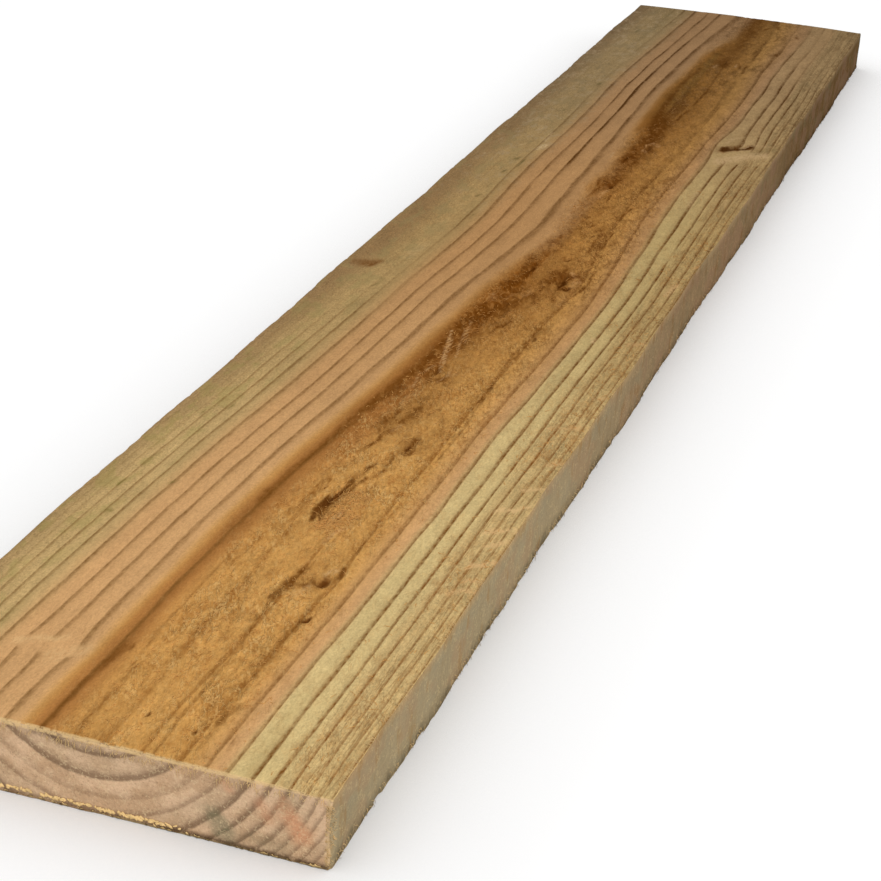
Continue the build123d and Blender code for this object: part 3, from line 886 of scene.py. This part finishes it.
timber = {
    "roughness": 0.92,
    "gloss": 0.0,
    "bump": {"Strength": 0.9, "Distance": 0.0005},
    "stations": (-330.0, 0.0, 330.0),  # where the near, middle and far colours hold
    # darker and greyer farther along the plank: a painted falloff of the light
    "paintedFalloff": ((1.0, 1.0, 1.0, 1.0), (0.76, 0.73, 0.69, 1.0), (0.54, 0.55, 0.6, 1.0)),
    "lateLine": (  # share of a year's ring, then how dark it is there
        (0, 0.1), (0.04, 0), (0.5, 0.02), (0.74, 0.2), (0.85, 0.8), (0.94, 1), (0.98, 0.6), (1, 0.1),
    ),
    "endLate": ((0, 0.5), (0.06, 0.05), (0.45, 0.05), (0.66, 0.4), (0.82, 0.95), (0.95, 1), (1, 0.5)),
}

# Colours near, in the middle and far along the plank, or one for all of it; the darker far colours are partly
# the wood's own and partly a painted falloff of the light
tones = {
    "heartwood": (195, 145, 80),
    "heartRim": (160, 105, 55),
    "rustyHeart": (130, 75, 20),
    "darkHeart": (110, 80, 40),
    "sapwood": (200, 155, 105),
    "brightSapwood": (205, 180, 125),
    "outerSapwood": (185, 155, 105),
    "treatedEdge": (160, 130, 90),
    "green": ((158, 146, 84), (142, 126, 84), (122, 106, 78)),
    "bleached": (160, 139, 108),
    "line": ((110, 76, 34), (94, 60, 24), (78, 50, 24)),
    "heartLine": ((126, 76, 26), (96, 54, 16), (76, 46, 18)),
    "rust": ((160, 102, 44), (112, 68, 24), (82, 54, 26)),
    "gap": ((140, 88, 36), (96, 58, 20), (66, 42, 18)),
    "fibre": ((226, 182, 116), (200, 146, 82), (158, 120, 78)),
    "brown": ((106, 62, 16), (100, 54, 8), (80, 46, 12)),
    "knotDark": ((104, 58, 14), (86, 42, 4), (72, 40, 10)),
    "knotPale": ((206, 152, 84), (182, 126, 66), (146, 104, 62)),
    "olive": ((112, 100, 46), (84, 74, 36), (78, 70, 38)),
    "core": ((94, 52, 16), (74, 36, 4), (62, 36, 10)),
    "pale": ((224, 188, 134), (208, 180, 136), (168, 144, 108)),
    "paleTorn": ((220, 176, 120), (190, 140, 86), (160, 124, 84)),
    "brink": (222, 188, 134),
    "sideRim": ((178, 148, 106), (160, 134, 98), (126, 104, 75)),
    "sideBody": ((164, 146, 113), (138, 114, 83), (99, 76, 48)),
    "sideGreen": ((158, 147, 120), (124, 112, 84), (98, 90, 64)),
    "sidePink": ((172, 138, 104), (144, 112, 86), (122, 94, 74)),
    "sideOchre": ((156, 118, 66), (122, 86, 46), (92, 64, 32)),
    "sideCurl": ((206, 182, 136), (180, 148, 108), (136, 106, 70)),
    "endLight": (208, 174, 140),
    "endShade": (186, 152, 118),
    "endYear": (178, 154, 124),
    "endLine": (112, 86, 64),
    "endSalmon": (204, 146, 108),
    "endGreen": (112, 110, 84),
    "endGrey": (104, 84, 66),
    "endPale": (226, 200, 158),
    "endDark": (134, 106, 80),
    "endCorner": (208, 178, 132),
    "endFoot": (86, 64, 44),
    "farEnd": (120, 92, 62),
}

# Noise: cell size across, along and up in millimetres, detail, roughness, seed
noises = {
    "lineWander": ((3, 30, 3), 2, 0.5, 3.1),
    "broadWander": ((40, 120, 40), 2, 0.5, 1.7),
    "specks": ((0.7, 1.3, 0.7), 3, 0.75, 5.0),
    "streaks": ((1.2, 26, 1.2), 3, 0.6, 6.0),
    "tufts": ((2.6, 5, 2.6), 3, 0.65, 7.0),
    "blotches": ((7, 16, 7), 2, 0.55, 7.7),
    "clouds": ((16, 40, 16), 2, 0.5, 8.0),
    "flecks": ((1.1, 4.5, 1.1), 2, 0.6, 46.0, "slant"),
    "wash": ((8, 20, 8), 3, 0.65, 12.0),
    "farMottle": ((6, 14, 6), 5, 0.85, 12.9),
    "dashes": ((1, 3.2, 1), 2, 0.65, 9.5),
    "lineFade": ((6, 24, 6), 2, 0.6, 9.9),
    "tatters": ((1.1, 3.2, 1.1), 3, 0.65, 9.0, "slant"),
    "patches": ((7, 13, 7), 2, 0.6, 22.0),
    "rust": ((4.5, 10, 4.5), 3, 0.65, 24.0),
    "rimFine": ((0.9, 2, 0.9), 3, 0.65, 11.0),
    "rimCoarse": ((2.6, 5.5, 2.6), 2, 0.6, 11.5),
    "mottle": ((3.2, 6.5, 3.2), 3, 0.62, 61.0, "slant"),
    "paleBreaks": ((1.2, 2.6, 1.2), 3, 0.65, 12.6),
    "sideBands": ((60, 18, 18), 2, 0.5, 13.0),
    "sideStrokes": ((60, 3.6, 14), 3, 0.6, 14.0),
    "sideSpecks": ((1.2, 1.2, 1.2), 3, 0.75, 5.0),
    "sideFoot": ((9, 4, 9), 3, 0.7, 13.3),
    "sideGreen": ((60, 22, 15), 3, 0.65, 13.7),
    "sidePink": ((60, 24, 16), 3, 0.65, 14.2),
    "sideOchre": ((60, 7, 15), 3, 0.65, 14.7),
    "endSpeckle": ((0.9, 0.9, 0.9), 3, 0.7, 15.0),
    "endClouds": ((9, 9, 7), 2, 0.5, 16.0),
    "endFine": ((1, 1, 1), 3, 0.75, 17.0),
    "endCoarse": ((3, 3, 3), 3, 0.6, 18.0),
    "bumpSpecks": ((0.7, 1.3, 0.7), 2, 0.7, 5.0),
    "strandPatch": ((2.5, 2.5, 2.5), 2, 0.6, 51.0),
}

# Thin curly threads: cell size, seed, width
threadLines = {
    "hair": ((1.3, 34, 1.3), 21.0, 0.05, "place"),
    "gapThreads": ((3, 8, 3), 23.0, 0.05, "slant"),
    "shortCurls": ((2.6, 7, 2.6), 27.0, 0.045, "slant"),
    "longCurls": ((2.4, 9, 2.4), 31.0, 0.035, "slant"),
    "sideThreads": ((2, 2.4, 2.4), 35.0, 0.04, "place"),
    "endThreads": ((2.6, 2.6, 2.6), 39.0, 0.04, "place"),
}

# Grain of the surface: noise, amount, and how it changes over torn grain, margin and outer left
swings = [
    ("specks", 0.19, (0.11, 0.1, 0.16)),
    ("streaks", 0.06, (0.0, 0.15, 0.02)),
    ("tufts", 0.06, (0.19, 0.0, 0.03)),
    ("blotches", 0.045, (0.14, 0.0, 0.02)),
    ("clouds", 0.045, (0.03, 0.0, 0.02)),
    ("flecks", 0.03, (0.15, 0.0, 0.0)),
]

# Layers of colour, painted in this order: tone, then the fields whose product is its share.
# A field with numbers rises smoothly from the first to the second, or from low to high.
woodLayers = [  # kinds of wood by ring radius, over sapwood
    ("brightSapwood", ("radius", 47, 51), ("wanderingY", 0, 330, 1.0, 0.3), "rightSide"),
    ("outerSapwood", ("radius", 52, 62), "leftSide"),
    ("outerSapwood", ("radius", 61, 65), "rightSide", 0.6),
    ("treatedEdge", ("radius", 70, 84), "leftSide"),
    ("heartwood", "heart"),
    ("heartRim", ("radius", 26, 30), ("radius", 34.5, 31.5), "leftSide", 0.8),
]

heartLayers = [
    ("rustyHeart", "heartCore", ("wanderingY", -330, 0)),
    ("darkHeart", "heartCore", ("wanderingY", 0, 330)),
]

topLayers = [
    ("green", "outerLeft", ("wash", 0.48, 0.62, 0.0, 0.4)),
    ("bleached", ("farMottle", 0.5, 0.64, 0.0, 0.5), ("radius", 48, 60), "leftSide", ("y", -60, 150)),
    ("lineTone", "lateLine", "lineStrength", "lineBreaks"),
    ("lineTone", "hair", "margin", 0.4),
    ("rust", ("rust", 0.48, 0.66), "fuzz", 0.5),
    ("gap", ("tatters", 0.46, 0.34), "torn", 0.38),
    ("gap", "gapThreads", "torn", 0.55),
    ("fibre", "curls", "torn", 0.55),
    ("fibre", ("tatters", 0.53, 0.66), "torn", 0.55),
    ("brown", ("raggedBrown", 0.05, 1.2, 0.0, 0.9)),
    ("knotDark", ("mottle", 0.52, 0.6), "nearKnots", 0.5),
    ("knotPale", ("mottle", 0.46, 0.37), "nearKnots", 0.3),
    ("olive", ("raggedOlive", 0.1, 1.1, 0.0, 0.75)),
    ("core", ("raggedCore", 0.2, 1.1, 0.0, 0.85)),
    ("paleTone", ("patchyPale", 0.08, 1.1, 0.0, 0.8)),
]

sideLayers = [
    ("sideGreen", ("sideGreen", 0.5, 0.64, 0.0, 0.45), ("y", -400, 400, 0.65, 1.0)),
    ("sidePink", ("sidePink", 0.46, 0.6, 0.0, 0.55), ("y", -400, 400, 0.65, 1.0)),
    ("sideOchre", ("sideOchre", 0.54, 0.68, 0.0, 0.6), ("y", -400, 400, 0.65, 1.0)),
    ("sideCurl", "sideThreads", 0.5),
]

endLayers = [
    ("endLine", "endLate", "lineStrength", 0.79),
    ("endSalmon", ("salmon", 0.05, 1.0, 0.0, 0.8)),
    ("endGreen", ("raggedOlive", 0.05, 1.0, 0.0, 0.65)),
    ("endGrey", ("raggedBrown", 0.05, 1.0, 0.0, 0.75)),
    ("endPale", ("endSpeckle", 0.56, 0.70, 0.0, 0.4)),
    ("endDark", ("endSpeckle", 0.45, 0.30, 0.0, 0.45)),
    ("endPale", "endThreads", 0.3),
    ("endCorner", ("x", 71.8, 73.2), ("tatters", 0.35, 0.5, 0.2, 0.7)),
    # Darker at the foot of the near end, where it meets the floor: painted shade, broken up by noise
    ("endFoot", ("z", 2.6, 0.5), ("tatters", 0.36, 0.5, 0.3, 0.8), ("x", -5, 35, 0.4, 1.0)),
    ("farEnd", ("y", 0, 1), 0.55),
]

# A pale line along the near top arris: its fuzz, lit up as a painted highlight
rimHighlightLayers = [
    ("brink", ("z", 22.0, 22.7), ("y", nearY + 3.0, nearY + 2.2), ("tatters", 0.36, 0.52, 0.15, 0.75)),
]

fields = {}  # the sockets of the material that is being made, by name


def field(item):
    # The socket of a named field, or of one with numbers; its nodes are made when first asked for
    if isinstance(item, (int, float, bpy.types.NodeSocket)):
        return item
    if item not in fields:
        if isinstance(item, tuple):
            fields[item] = spread(*item)
        elif item in noises:
            fields[item] = grainNoise(*noises[item])
        else:
            fields[item] = threads(*threadLines[item])
    return fields[item]


def calc(operation, *values, clamp=False):
    inputs = dict(enumerate(field(value) for value in values))
    return addNode("Math", inputs, operation=operation, use_clamp=clamp).outputs[0]


def chain(operation, values):
    result = field(values[0])
    for value in values[1:]:
        result = calc(operation, result, value)
    return result


def total(*values):
    return chain("ADD", values)


def product(*values):
    return chain("MULTIPLY", values)


def vectorMath(operation, first, second):
    return addNode("VectorMath", {0: first, 1: second}, operation=operation).outputs[0]


def vectorOf(first, second=0.0, third=0.0):
    return addNode("CombineXYZ", {0: first, 1: second, 2: third}).outputs[0]


def blend(share, first, second, mode="MIX"):
    node = addNode("Mix", data_type="RGBA", blend_type=mode)
    for name, value in {"Factor": share, "A": first, "B": second}.items():
        setInput(next(s for s in node.inputs if s.name == name and s.enabled), value)
    return next(s for s in node.outputs if s.enabled)


def spread(value, start, end, floorShade=0.0, high=1.0):
    # A smooth change from low to high as the value goes from start to end
    inputs = {"Value": field(value), "From Min": start, "From Max": end, "To Min": floorShade, "To Max": high}
    return addNode("MapRange", inputs, interpolation_type="SMOOTHSTEP").outputs["Result"]


def colourRamp(share, stops):
    node = addNode("ValToRGB", {"Fac": share})
    elements = node.color_ramp.elements
    elements.remove(elements[1])
    for number, (place, colour) in enumerate(stops):
        element = elements[0] if number == 0 else elements.new(place)
        element.position = place
        element.color = colour
    return node.outputs["Color"]


def greyRamp(share, stops):
    return colourRamp(share, [(place, (grey, grey, grey, 1)) for place, grey in stops])


def alongPlank(colours, y="y"):
    # Near, middle and far colours, each fading into the next
    near, middle, far = timber["stations"]
    first = blend(field((y, near, middle)), colours[0], colours[1])
    return blend(field((y, middle, far)), first, colours[2])


def toneNamed(name):
    # A colour from the list of tones, or one that was blended and named
    if name not in tones:
        return fields[name]
    colours = tones[name]
    if isinstance(colours[0], int):
        return tone(*colours)
    blended = name + "Colour"
    if blended not in fields:
        fields[blended] = alongPlank([tone(*rgb) for rgb in colours])
    return fields[blended]


def paint(colour, layers):
    for name, *shares in layers:
        colour = blend(product(*shares), colour, toneNamed(name))
    return colour


def shade(colour, *values):
    grey = total(*values)
    return blend(1.0, colour, vectorOf(grey, grey, grey), "MULTIPLY")


def grainNoise(size, detail, roughness, seed, place="place"):
    # Noise about 0.5
    scaled = vectorMath("MULTIPLY", fields[place], tuple(1 / side for side in size))
    shifted = vectorMath("ADD", scaled, (seed, seed * 1.7, seed * 0.6))
    inputs = {"Vector": shifted, "Scale": 1.0, "Detail": detail, "Roughness": roughness}
    return addNode("TexNoise", inputs).outputs["Fac"]


def threads(size, seed, width, place):
    # Thin lines where a noise crosses its middle, broken into pieces by a coarser one
    twisted = grainNoise(size, 2.0, 0.6, seed, place)
    line = spread(calc("ABSOLUTE", calc("SUBTRACT", twisted, 0.5)), width, width * 0.2)
    cover = grainNoise(tuple(side * 1.7 for side in size), 2.0, 0.6, seed + 1.3, place)
    return product(line, spread(cover, 0.46, 0.56))


def swing(noise, amount):
    # Noise about 0.5 as a change about 0, some four times its amount from end to end
    reach = amount * 4 if isinstance(amount, float) else product(amount, 4.0)
    return product(calc("SUBTRACT", noise, 0.5), reach)


def startMaterial(name):
    # A new material, with its places in millimetres among the fields
    material = startNodes(bpy.data.materials.new(name))
    fields.clear()
    coordinates = addNode("TexCoord").outputs["Object"]
    fields["place"] = vectorMath("MULTIPLY", coordinates, (perMetre, perMetre, perMetre))
    nameParts(fields["place"], "x", "y", "z")
    return material


def nameParts(vector, *names):
    fields.update(zip(names, addNode("SeparateXYZ", {0: vector}).outputs))


def finishMaterial(colour, **others):
    inputs = {"Base Color": colour, "Roughness": timber["roughness"], "Specular IOR Level": timber["gloss"]}
    surface = addNode("BsdfPrincipled", {**inputs, **others})
    addNode("OutputMaterial", {"Surface": surface.outputs[0]})


def countRings(radius):
    # Counts rings outwards from the pith, with one more at every radius in the list
    node = addNode("FloatCurve", {"Value": calc("DIVIDE", radius, stem["reachOfCurve"])})
    points = node.mapping.curves[0].points
    rings = stem["ringRadii"]
    for number, ringRadius in enumerate(rings):
        spot = (ringRadius / stem["reachOfCurve"], number / len(rings))
        point = points[number] if number < 2 else points.new(*spot)
        point.location = spot
    for point in points:
        point.handle_type = "VECTOR"
    node.mapping.update()
    return calc("MULTIPLY", node.outputs[0], len(rings))


def readGrain():
    # Ring radius, which part of a year's ring each place is in, and the zones of the face
    for name, *parts in (
        ("grain", "pithX", "pithZ", "push"),
        ("facing", "top", "side", "end"),
        ("stains", "brown", "olive", "pale"),
        ("detail", "fuzz", "lineStrength", "salmon"),
    ):
        nameParts(addNode("Attribute", attribute_name=name).outputs["Vector"], *parts)
    across = calc("SUBTRACT", "x", "pithX")
    depth = calc("SUBTRACT", "z", "pithZ")
    plain = calc("SQRT", total(product(across, across), product(depth, depth)))
    fields["radius"] = total(plain, "push", swing("lineWander", 0.25))
    phase = countRings("radius")
    part = calc("FRACT", phase)
    year = addNode("TexWhiteNoise", {"W": calc("FLOOR", phase)}, noise_dimensions="1D")
    fields["yearTone"] = year.outputs["Value"]
    fields["lateLine"] = greyRamp(part, timber["lateLine"])
    fields["endLate"] = greyRamp(part, timber["endLate"])
    fields["rightSide"] = spread(across, -3.0, 3.0)
    fields["leftSide"] = calc("SUBTRACT", 1.0, "rightSide")
    fields["heart"] = total(
        product(("radius", 36, 32.5), "leftSide"), product(("radius", 48, 38), "rightSide")
    )
    fields["heartCore"] = total(
        product(("radius", 35.5, 31.5), "leftSide"), product(("radius", 40, 25), "rightSide")
    )
    fields["margin"] = product(("radius", 58, 68), "rightSide")
    fields["outerLeft"] = product(("radius", 56, 70), "leftSide")
    fields["wanderingY"] = total("y", swing("broadWander", 35.0))
    lean = vectorOf(calc("MULTIPLY", "y", 0.32))  # torn fibres lean across the grain
    fields["slant"] = vectorMath("ADD", fields["place"], lean)


def woodColour():
    # Kinds of wood by ring, with a painted falloff of the light darkening them farther along the plank
    colour = paint(toneNamed("sapwood"), woodLayers)
    colour = blend(1.0, colour, alongPlank(timber["paintedFalloff"], "wanderingY"), "MULTIPLY")
    return paint(colour, heartLayers)


def nameStainsAndShade():
    # Torn grain, and stains, knots and the painted shade in the torn pocket, with ragged rims
    dash = swing("dashes", total(0.3, product("fuzz", 0.25)))
    fields["lineBreaks"] = total(0.88, dash, swing("lineFade", ("y", -100, 300, 0.18, 0.42)))
    fields["lineTone"] = blend(
        calc("MULTIPLY", "fuzz", 2.0, clamp=True), toneNamed("line"), toneNamed("heartLine")
    )
    patchy = product(total("fuzz", 0.08), ("patches", 0.4, 0.6, 0.35, 1.0))
    fields["torn"] = product(patchy, ("y", 20, 300, 1.0, 0.35))
    fields["curls"] = calc("MAXIMUM", "shortCurls", "longCurls")
    rimNoise = total(swing("rimFine", 0.2), swing("rimCoarse", 0.2))
    for stain in ("brown", "olive", "pale"):
        ragged = total(stain, product(rimNoise, calc("MINIMUM", stain, 0.8)))
        fields["ragged" + stain.capitalize()] = ragged
    fields["raggedCore"] = total("salmon", product(rimNoise, 0.5))
    tornKnots = calc("MULTIPLY", "fuzz", 2.5, clamp=True)
    fields["nearKnots"] = product(("brown", 0.25, 0.7), tornKnots, ("y", 100, 340, 1.0, 0.35))
    fields["patchyPale"] = product("raggedPale", ("paleBreaks", 0.3, 0.54))
    tornPale = calc("MULTIPLY", "fuzz", 1.6, clamp=True)
    fields["paleTone"] = blend(tornPale, toneNamed("pale"), toneNamed("paleTorn"))


def makeTimber():
    material = startMaterial("roughSawnPine")
    readGrain()
    nameStainsAndShade()

    # Top and underside
    colour = woodColour()
    # Brighter towards the near end and darker at the far end, a painted falloff of the light, then the
    # grain's noise
    falloffAndGrain = [("y", 350, 475, 1.0, 0.87), ("y", -470, -120, 0.09, 0.0)]
    for noise, amount, extras in swings:
        zones = zip(("fuzz", "margin", "outerLeft"), extras)
        amounts = [product(zone, extra) for zone, extra in zones if extra]
        falloffAndGrain.append(swing(noise, total(amount, *amounts)))
    colour = paint(shade(colour, *falloffAndGrain), topLayers)

    # Side faces: greyer, with a warmer rim, mottled by the saw, and darker in patches towards the foot
    sideColour = blend(field(("z", 18.5, 23.0)), toneNamed("sideBody"), toneNamed("sideRim"))
    bands = swing("sideBands", ("y", -300, 450, 0.06, 0.12))
    strokes = swing("sideStrokes", ("y", -300, 450, 0.045, 0.12))
    foot = product(("z", 6.5, 0.5, 0.0, -1.0), ("sideFoot", 0.3, 0.65, 0.15, 0.55))
    sideColour = shade(sideColour, 1.0, bands, strokes, swing("sideSpecks", 0.13), foot)
    colour = blend(field(("side", 0.55, 0.85)), colour, paint(sideColour, sideLayers))

    # End grain: rings as arcs in pinkish tan
    endColour = blend(field(("endClouds", 0.35, 0.65)), toneNamed("endLight"), toneNamed("endShade"))
    endColour = paint(endColour, [("endYear", ("yearTone", 0.4, 0.9), 0.35)])
    endColour = shade(endColour, 1.07, swing("endFine", 0.12), swing("endCoarse", 0.05))
    colour = blend(field(("end", 0.55, 0.85)), colour, paint(endColour, endLayers))
    colour = paint(colour, rimHighlightLayers)

    tatters = product("tatters", total(0.5, "fuzz"))
    relief = total(product("curls", "torn", 0.7), tatters, product("bumpSpecks", 0.5))
    bump = addNode("Bump", {**timber["bump"], "Height": relief})
    finishMaterial(colour, Normal=bump.outputs[0])
    return material


plank = makePlank()
print("plank shaped")


# Torn fibres standing on the faces and along the arrises

fibreZones = [  # count, along from and to, across from and to, shortest and longest, rise, curl
    (1700, -472, -190, -9, 42, 0.8, 2.6, 0.35, 0.9),
    (300, -328, -296, 9, 20, 1.5, 4.5, 0.5, 0.9),
    (1100, -190, 120, -6, 32, 1.0, 3.0, 0.4, 0.9),
    (160, 120, 330, 0, 24, 1.5, 4.0, 0.4, 0.8),
    (420, -470, 100, 50, 74, 1.2, 3.5, 0.3, 0.6),
    (260, -470, 250, -74, -20, 1.0, 3.0, 0.3, 0.6),
]

strandShape = {"radius": 0.12, "tipShare": 0.3}  # and how thick a tip is beside its root

# Ranges in millimetres
arrisWhiskers = {"count": 620, "heights": (21.2, 22.4), "runs": (0.6, 2.4), "leans": (-1.2, 1.2)}
endWhiskers = {"count": 240, "heights": (20.5, 22.6), "drops": (0.2, 1.0), "leans": (-0.8, 0.8)}
cornerWhiskers = {
    "count": 90, "insets": (1.2, 3.0), "heights": (1, 21), "leans": (0.4, 1.6), "turns": (-1.2, 1.2),
}
footWhiskers = {"count": 520, "heights": (0.4, 3.2), "leans": 1.2, "reaches": (0.3, 1.1), "drops": (0.2, 1.5)}
flakes = {
    "count": 200, "yellow": 130, "topOfYellow": (1.2, 2.0), "turns": (-0.5, 0.9), "ragged": (0.1, 0.05, 0.1),
}
outside = 9.0  # how far off the plank the line that finds a face begins


def faceFinder(piece):
    # Casts a line at the piece, and gives the place in millimetres where it lands
    corners = [v.co * perMetre for v in piece.data.vertices]
    tree = BVHTree.FromPolygons(corners, [p.vertices for p in piece.data.polygons])

    def land(start, direction):
        return tree.ray_cast(Vector(start), Vector(direction))[0]

    return land


def curlyStrand(x, y, heading, length, rise, curl, land):
    points = []
    for height in (-0.08, 0.6, 1.0, 0.7):
        spot = land((x, y, 40), (0, 0, -1))
        if spot is None:
            return None
        points.append((x, y, min(spot.z + height * rise, thickness - 0.03)))
        heading += random.uniform(-curl, curl)
        x += math.cos(heading) * length / 3
        y += math.sin(heading) * length / 3
    return points


def topStrands(land):
    strands = []
    for count, nearEdge, farEdge, leftEdge, rightEdge, shortest, longest, rise, curl in fibreZones:
        places = []
        for number in range(count):
            places.append((random.uniform(leftEdge, rightEdge), random.uniform(nearEdge, farEdge)))
        x, y = np.array(places).T
        chance = 2.2 * fuzzAt(x, y) - 0.2 - 2 * strokeField(x, y, darkCoresAndShade, 205)
        for place, share in zip(places, chance):
            heading = random.choice((math.pi / 2, -math.pi / 2)) + random.gauss(0.15, 0.5)
            length = random.uniform(shortest, longest)
            if random.random() < share:
                strands.append(curlyStrand(*place, heading, length, rise, curl, land))
    return [strand for strand in strands if strand]


def edgeStrands(land):
    # Whiskers along the right arris, over the near end and down its corner, and a fringe at the foot
    strands = []
    for number in range(arrisWhiskers["count"]):
        y = random.uniform(nearY + 2, farY - 2)
        spot = land((halfWidth + outside, y, random.uniform(*arrisWhiskers["heights"])), (-1, 0, 0))
        run = random.uniform(*arrisWhiskers["runs"])
        lean = random.uniform(*arrisWhiskers["leans"])
        middle = (spot.x - 0.1, y + lean * 0.4, min(spot.z + run * 0.7, 23.1))
        strands.append([spot - Vector((0.2, 0, 0.1)), middle, (spot.x - run, y + lean, 23.2)])
    for number in range(endWhiskers["count"]):
        x = random.uniform(-halfWidth + 2, halfWidth - 3)
        spot = land((x, nearY - outside, random.uniform(*endWhiskers["heights"])), (0, 1, 0))
        drop = random.uniform(*endWhiskers["drops"]) ** 2 * 2.2
        lean = random.uniform(*endWhiskers["leans"])
        steps = (0, 0.2, 0.3), (lean * 0.4, -0.35, -drop * 0.3), (lean, -0.5, -drop)
        strands.append([spot + Vector(step) for step in steps])
    for number in range(cornerWhiskers["count"]):
        x = halfWidth - random.uniform(*cornerWhiskers["insets"])
        spot = land((x, nearY - outside, random.uniform(*cornerWhiskers["heights"])), (0, 1, 0))
        lean = random.uniform(*cornerWhiskers["leans"])
        turn = random.uniform(*cornerWhiskers["turns"])
        steps = (0, 0.2, 0), (lean * 0.5, -0.4, turn * 0.4), (lean, -0.2, turn)
        strands.append([spot + Vector(step) for step in steps])
    for number in range(footWhiskers["count"]):
        y = random.uniform(nearY + 3, farY - 3)
        spot = land((halfWidth + outside, y, random.uniform(*footWhiskers["heights"])), (-1, 0, 0))
        lean = random.gauss(0, footWhiskers["leans"])
        reach = min(random.uniform(*footWhiskers["reaches"]), halfWidth - 0.05 - spot.x)
        foot = max(0.06, spot.z - random.uniform(*footWhiskers["drops"]))
        middle = (spot.x + reach * 0.6, y + lean * 0.5, spot.z)
        strands.append([spot - Vector((0.25, 0, 0)), middle, (spot.x + reach, y + lean, foot)])
    return strands


def makeStrands(name, strands, colours):
    # Tapering threads as one closed mesh
    curve = bpy.data.curves.new(name, "CURVE")
    curve.dimensions = "3D"
    curve.bevel_depth = strandShape["radius"] * millimetre
    curve.bevel_resolution = 0
    curve.use_fill_caps = True
    for points in strands:
        spline = curve.splines.new("POLY")
        spline.points.add(len(points) - 1)
        for number, (point, spot) in enumerate(zip(spline.points, points)):
            point.co = (*(side * millimetre for side in spot), 1)
            point.radius = 1 - (1 - strandShape["tipShare"]) * number / (len(points) - 1)
    holder = addObject(name, curve)
    mesh = bpy.data.meshes.new_from_object(holder)
    bpy.data.objects.remove(holder)
    mesh.materials.clear()
    return addPiece(name, mesh, colours)


def makeFlakes(land):
    # Torn yellow chips along the foot of the near end, and small lumps at the floor that the fibre's painted
    # shade turns into a dark line
    bm = bmesh.new()
    for number in range(flakes["count"]):
        yellow = number < flakes["yellow"]
        x = random.uniform(-73, 72)
        if yellow:  # one in five to the left of a gap, and the others in a row to the right of it
            x = random.choice([random.uniform(-28, -17), *[random.uniform(-14, 29) for pick in range(4)]])
        size = Vector((random.uniform(0.4, 1.1), random.uniform(0.15, 0.3), random.uniform(0.25, 0.6)))
        if not yellow:
            size = Vector((random.uniform(0.4, 1.3), 0.2, random.uniform(0.12, 0.3)))
        z = random.uniform(*flakes["topOfYellow"]) if yellow else size.z + 0.1
        spot = land((x, nearY - outside, z), (0, 1, 0))
        spin = Matrix.Rotation(random.uniform(*flakes["turns"]), 4, "Y")
        place = Matrix.Translation(spot - Vector((0, 0.1, 0))) @ spin @ Matrix.Diagonal((*size, 1))
        verts = bmesh.ops.create_icosphere(bm, subdivisions=1, radius=1.0, matrix=place)["verts"]
        for vert in verts:
            vert.co += Vector([random.gauss(0, reach) for reach in flakes["ragged"]])
            vert.co.y = max(vert.co.y, nearY + 0.03)
            vert.co.z = max(vert.co.z, 0.02)
    bmesh.ops.scale(bm, vec=(millimetre, millimetre, millimetre), verts=bm.verts)
    colours = [(224, 190, 132), (214, 180, 120), (120, 92, 60)]
    return addPiece("footFlakes", meshFrom(bm, "footFlakes"), colours, 0.9)


def addPiece(name, mesh, colours, shadeBelow=1.9):
    # Every piece stays inside the plank's own box
    margin = Vector([sawnForm["margin"]] * 3)
    floorShade, high = (plankLow + margin) * millimetre, (plankHigh - margin) * millimetre
    for vertex in mesh.vertices:
        vertex.co = [min(max(side, least), most) for side, least, most in zip(vertex.co, floorShade, high)]
    finishMesh(mesh)
    piece = addObject(name, mesh)
    piece.data.materials.append(makeFibre(name + "Wood", [tone(*rgb) for rgb in colours], shadeBelow))
    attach(piece, "root")
    return piece


def makeFibre(name, colours, shadeBelow):
    # Pale wood fibre: each patch of strands a little lighter or browner, with painted shade darkening it
    # where it nears the floor
    material = startMaterial(name)
    floorShade = ("z", 0.3, shadeBelow, -0.66, 0.0)
    finishMaterial(shade(alongPlank(colours), 0.98, swing("strandPatch", 0.22), floorShade))
    return material


land = faceFinder(plank)
makeStrands("tornFibres", topStrands(land), [(208, 156, 90), (182, 128, 68), (146, 108, 66)])
makeStrands("edgeFibres", edgeStrands(land), [(206, 174, 124), (176, 144, 102), (122, 94, 62)])
makeFlakes(land)
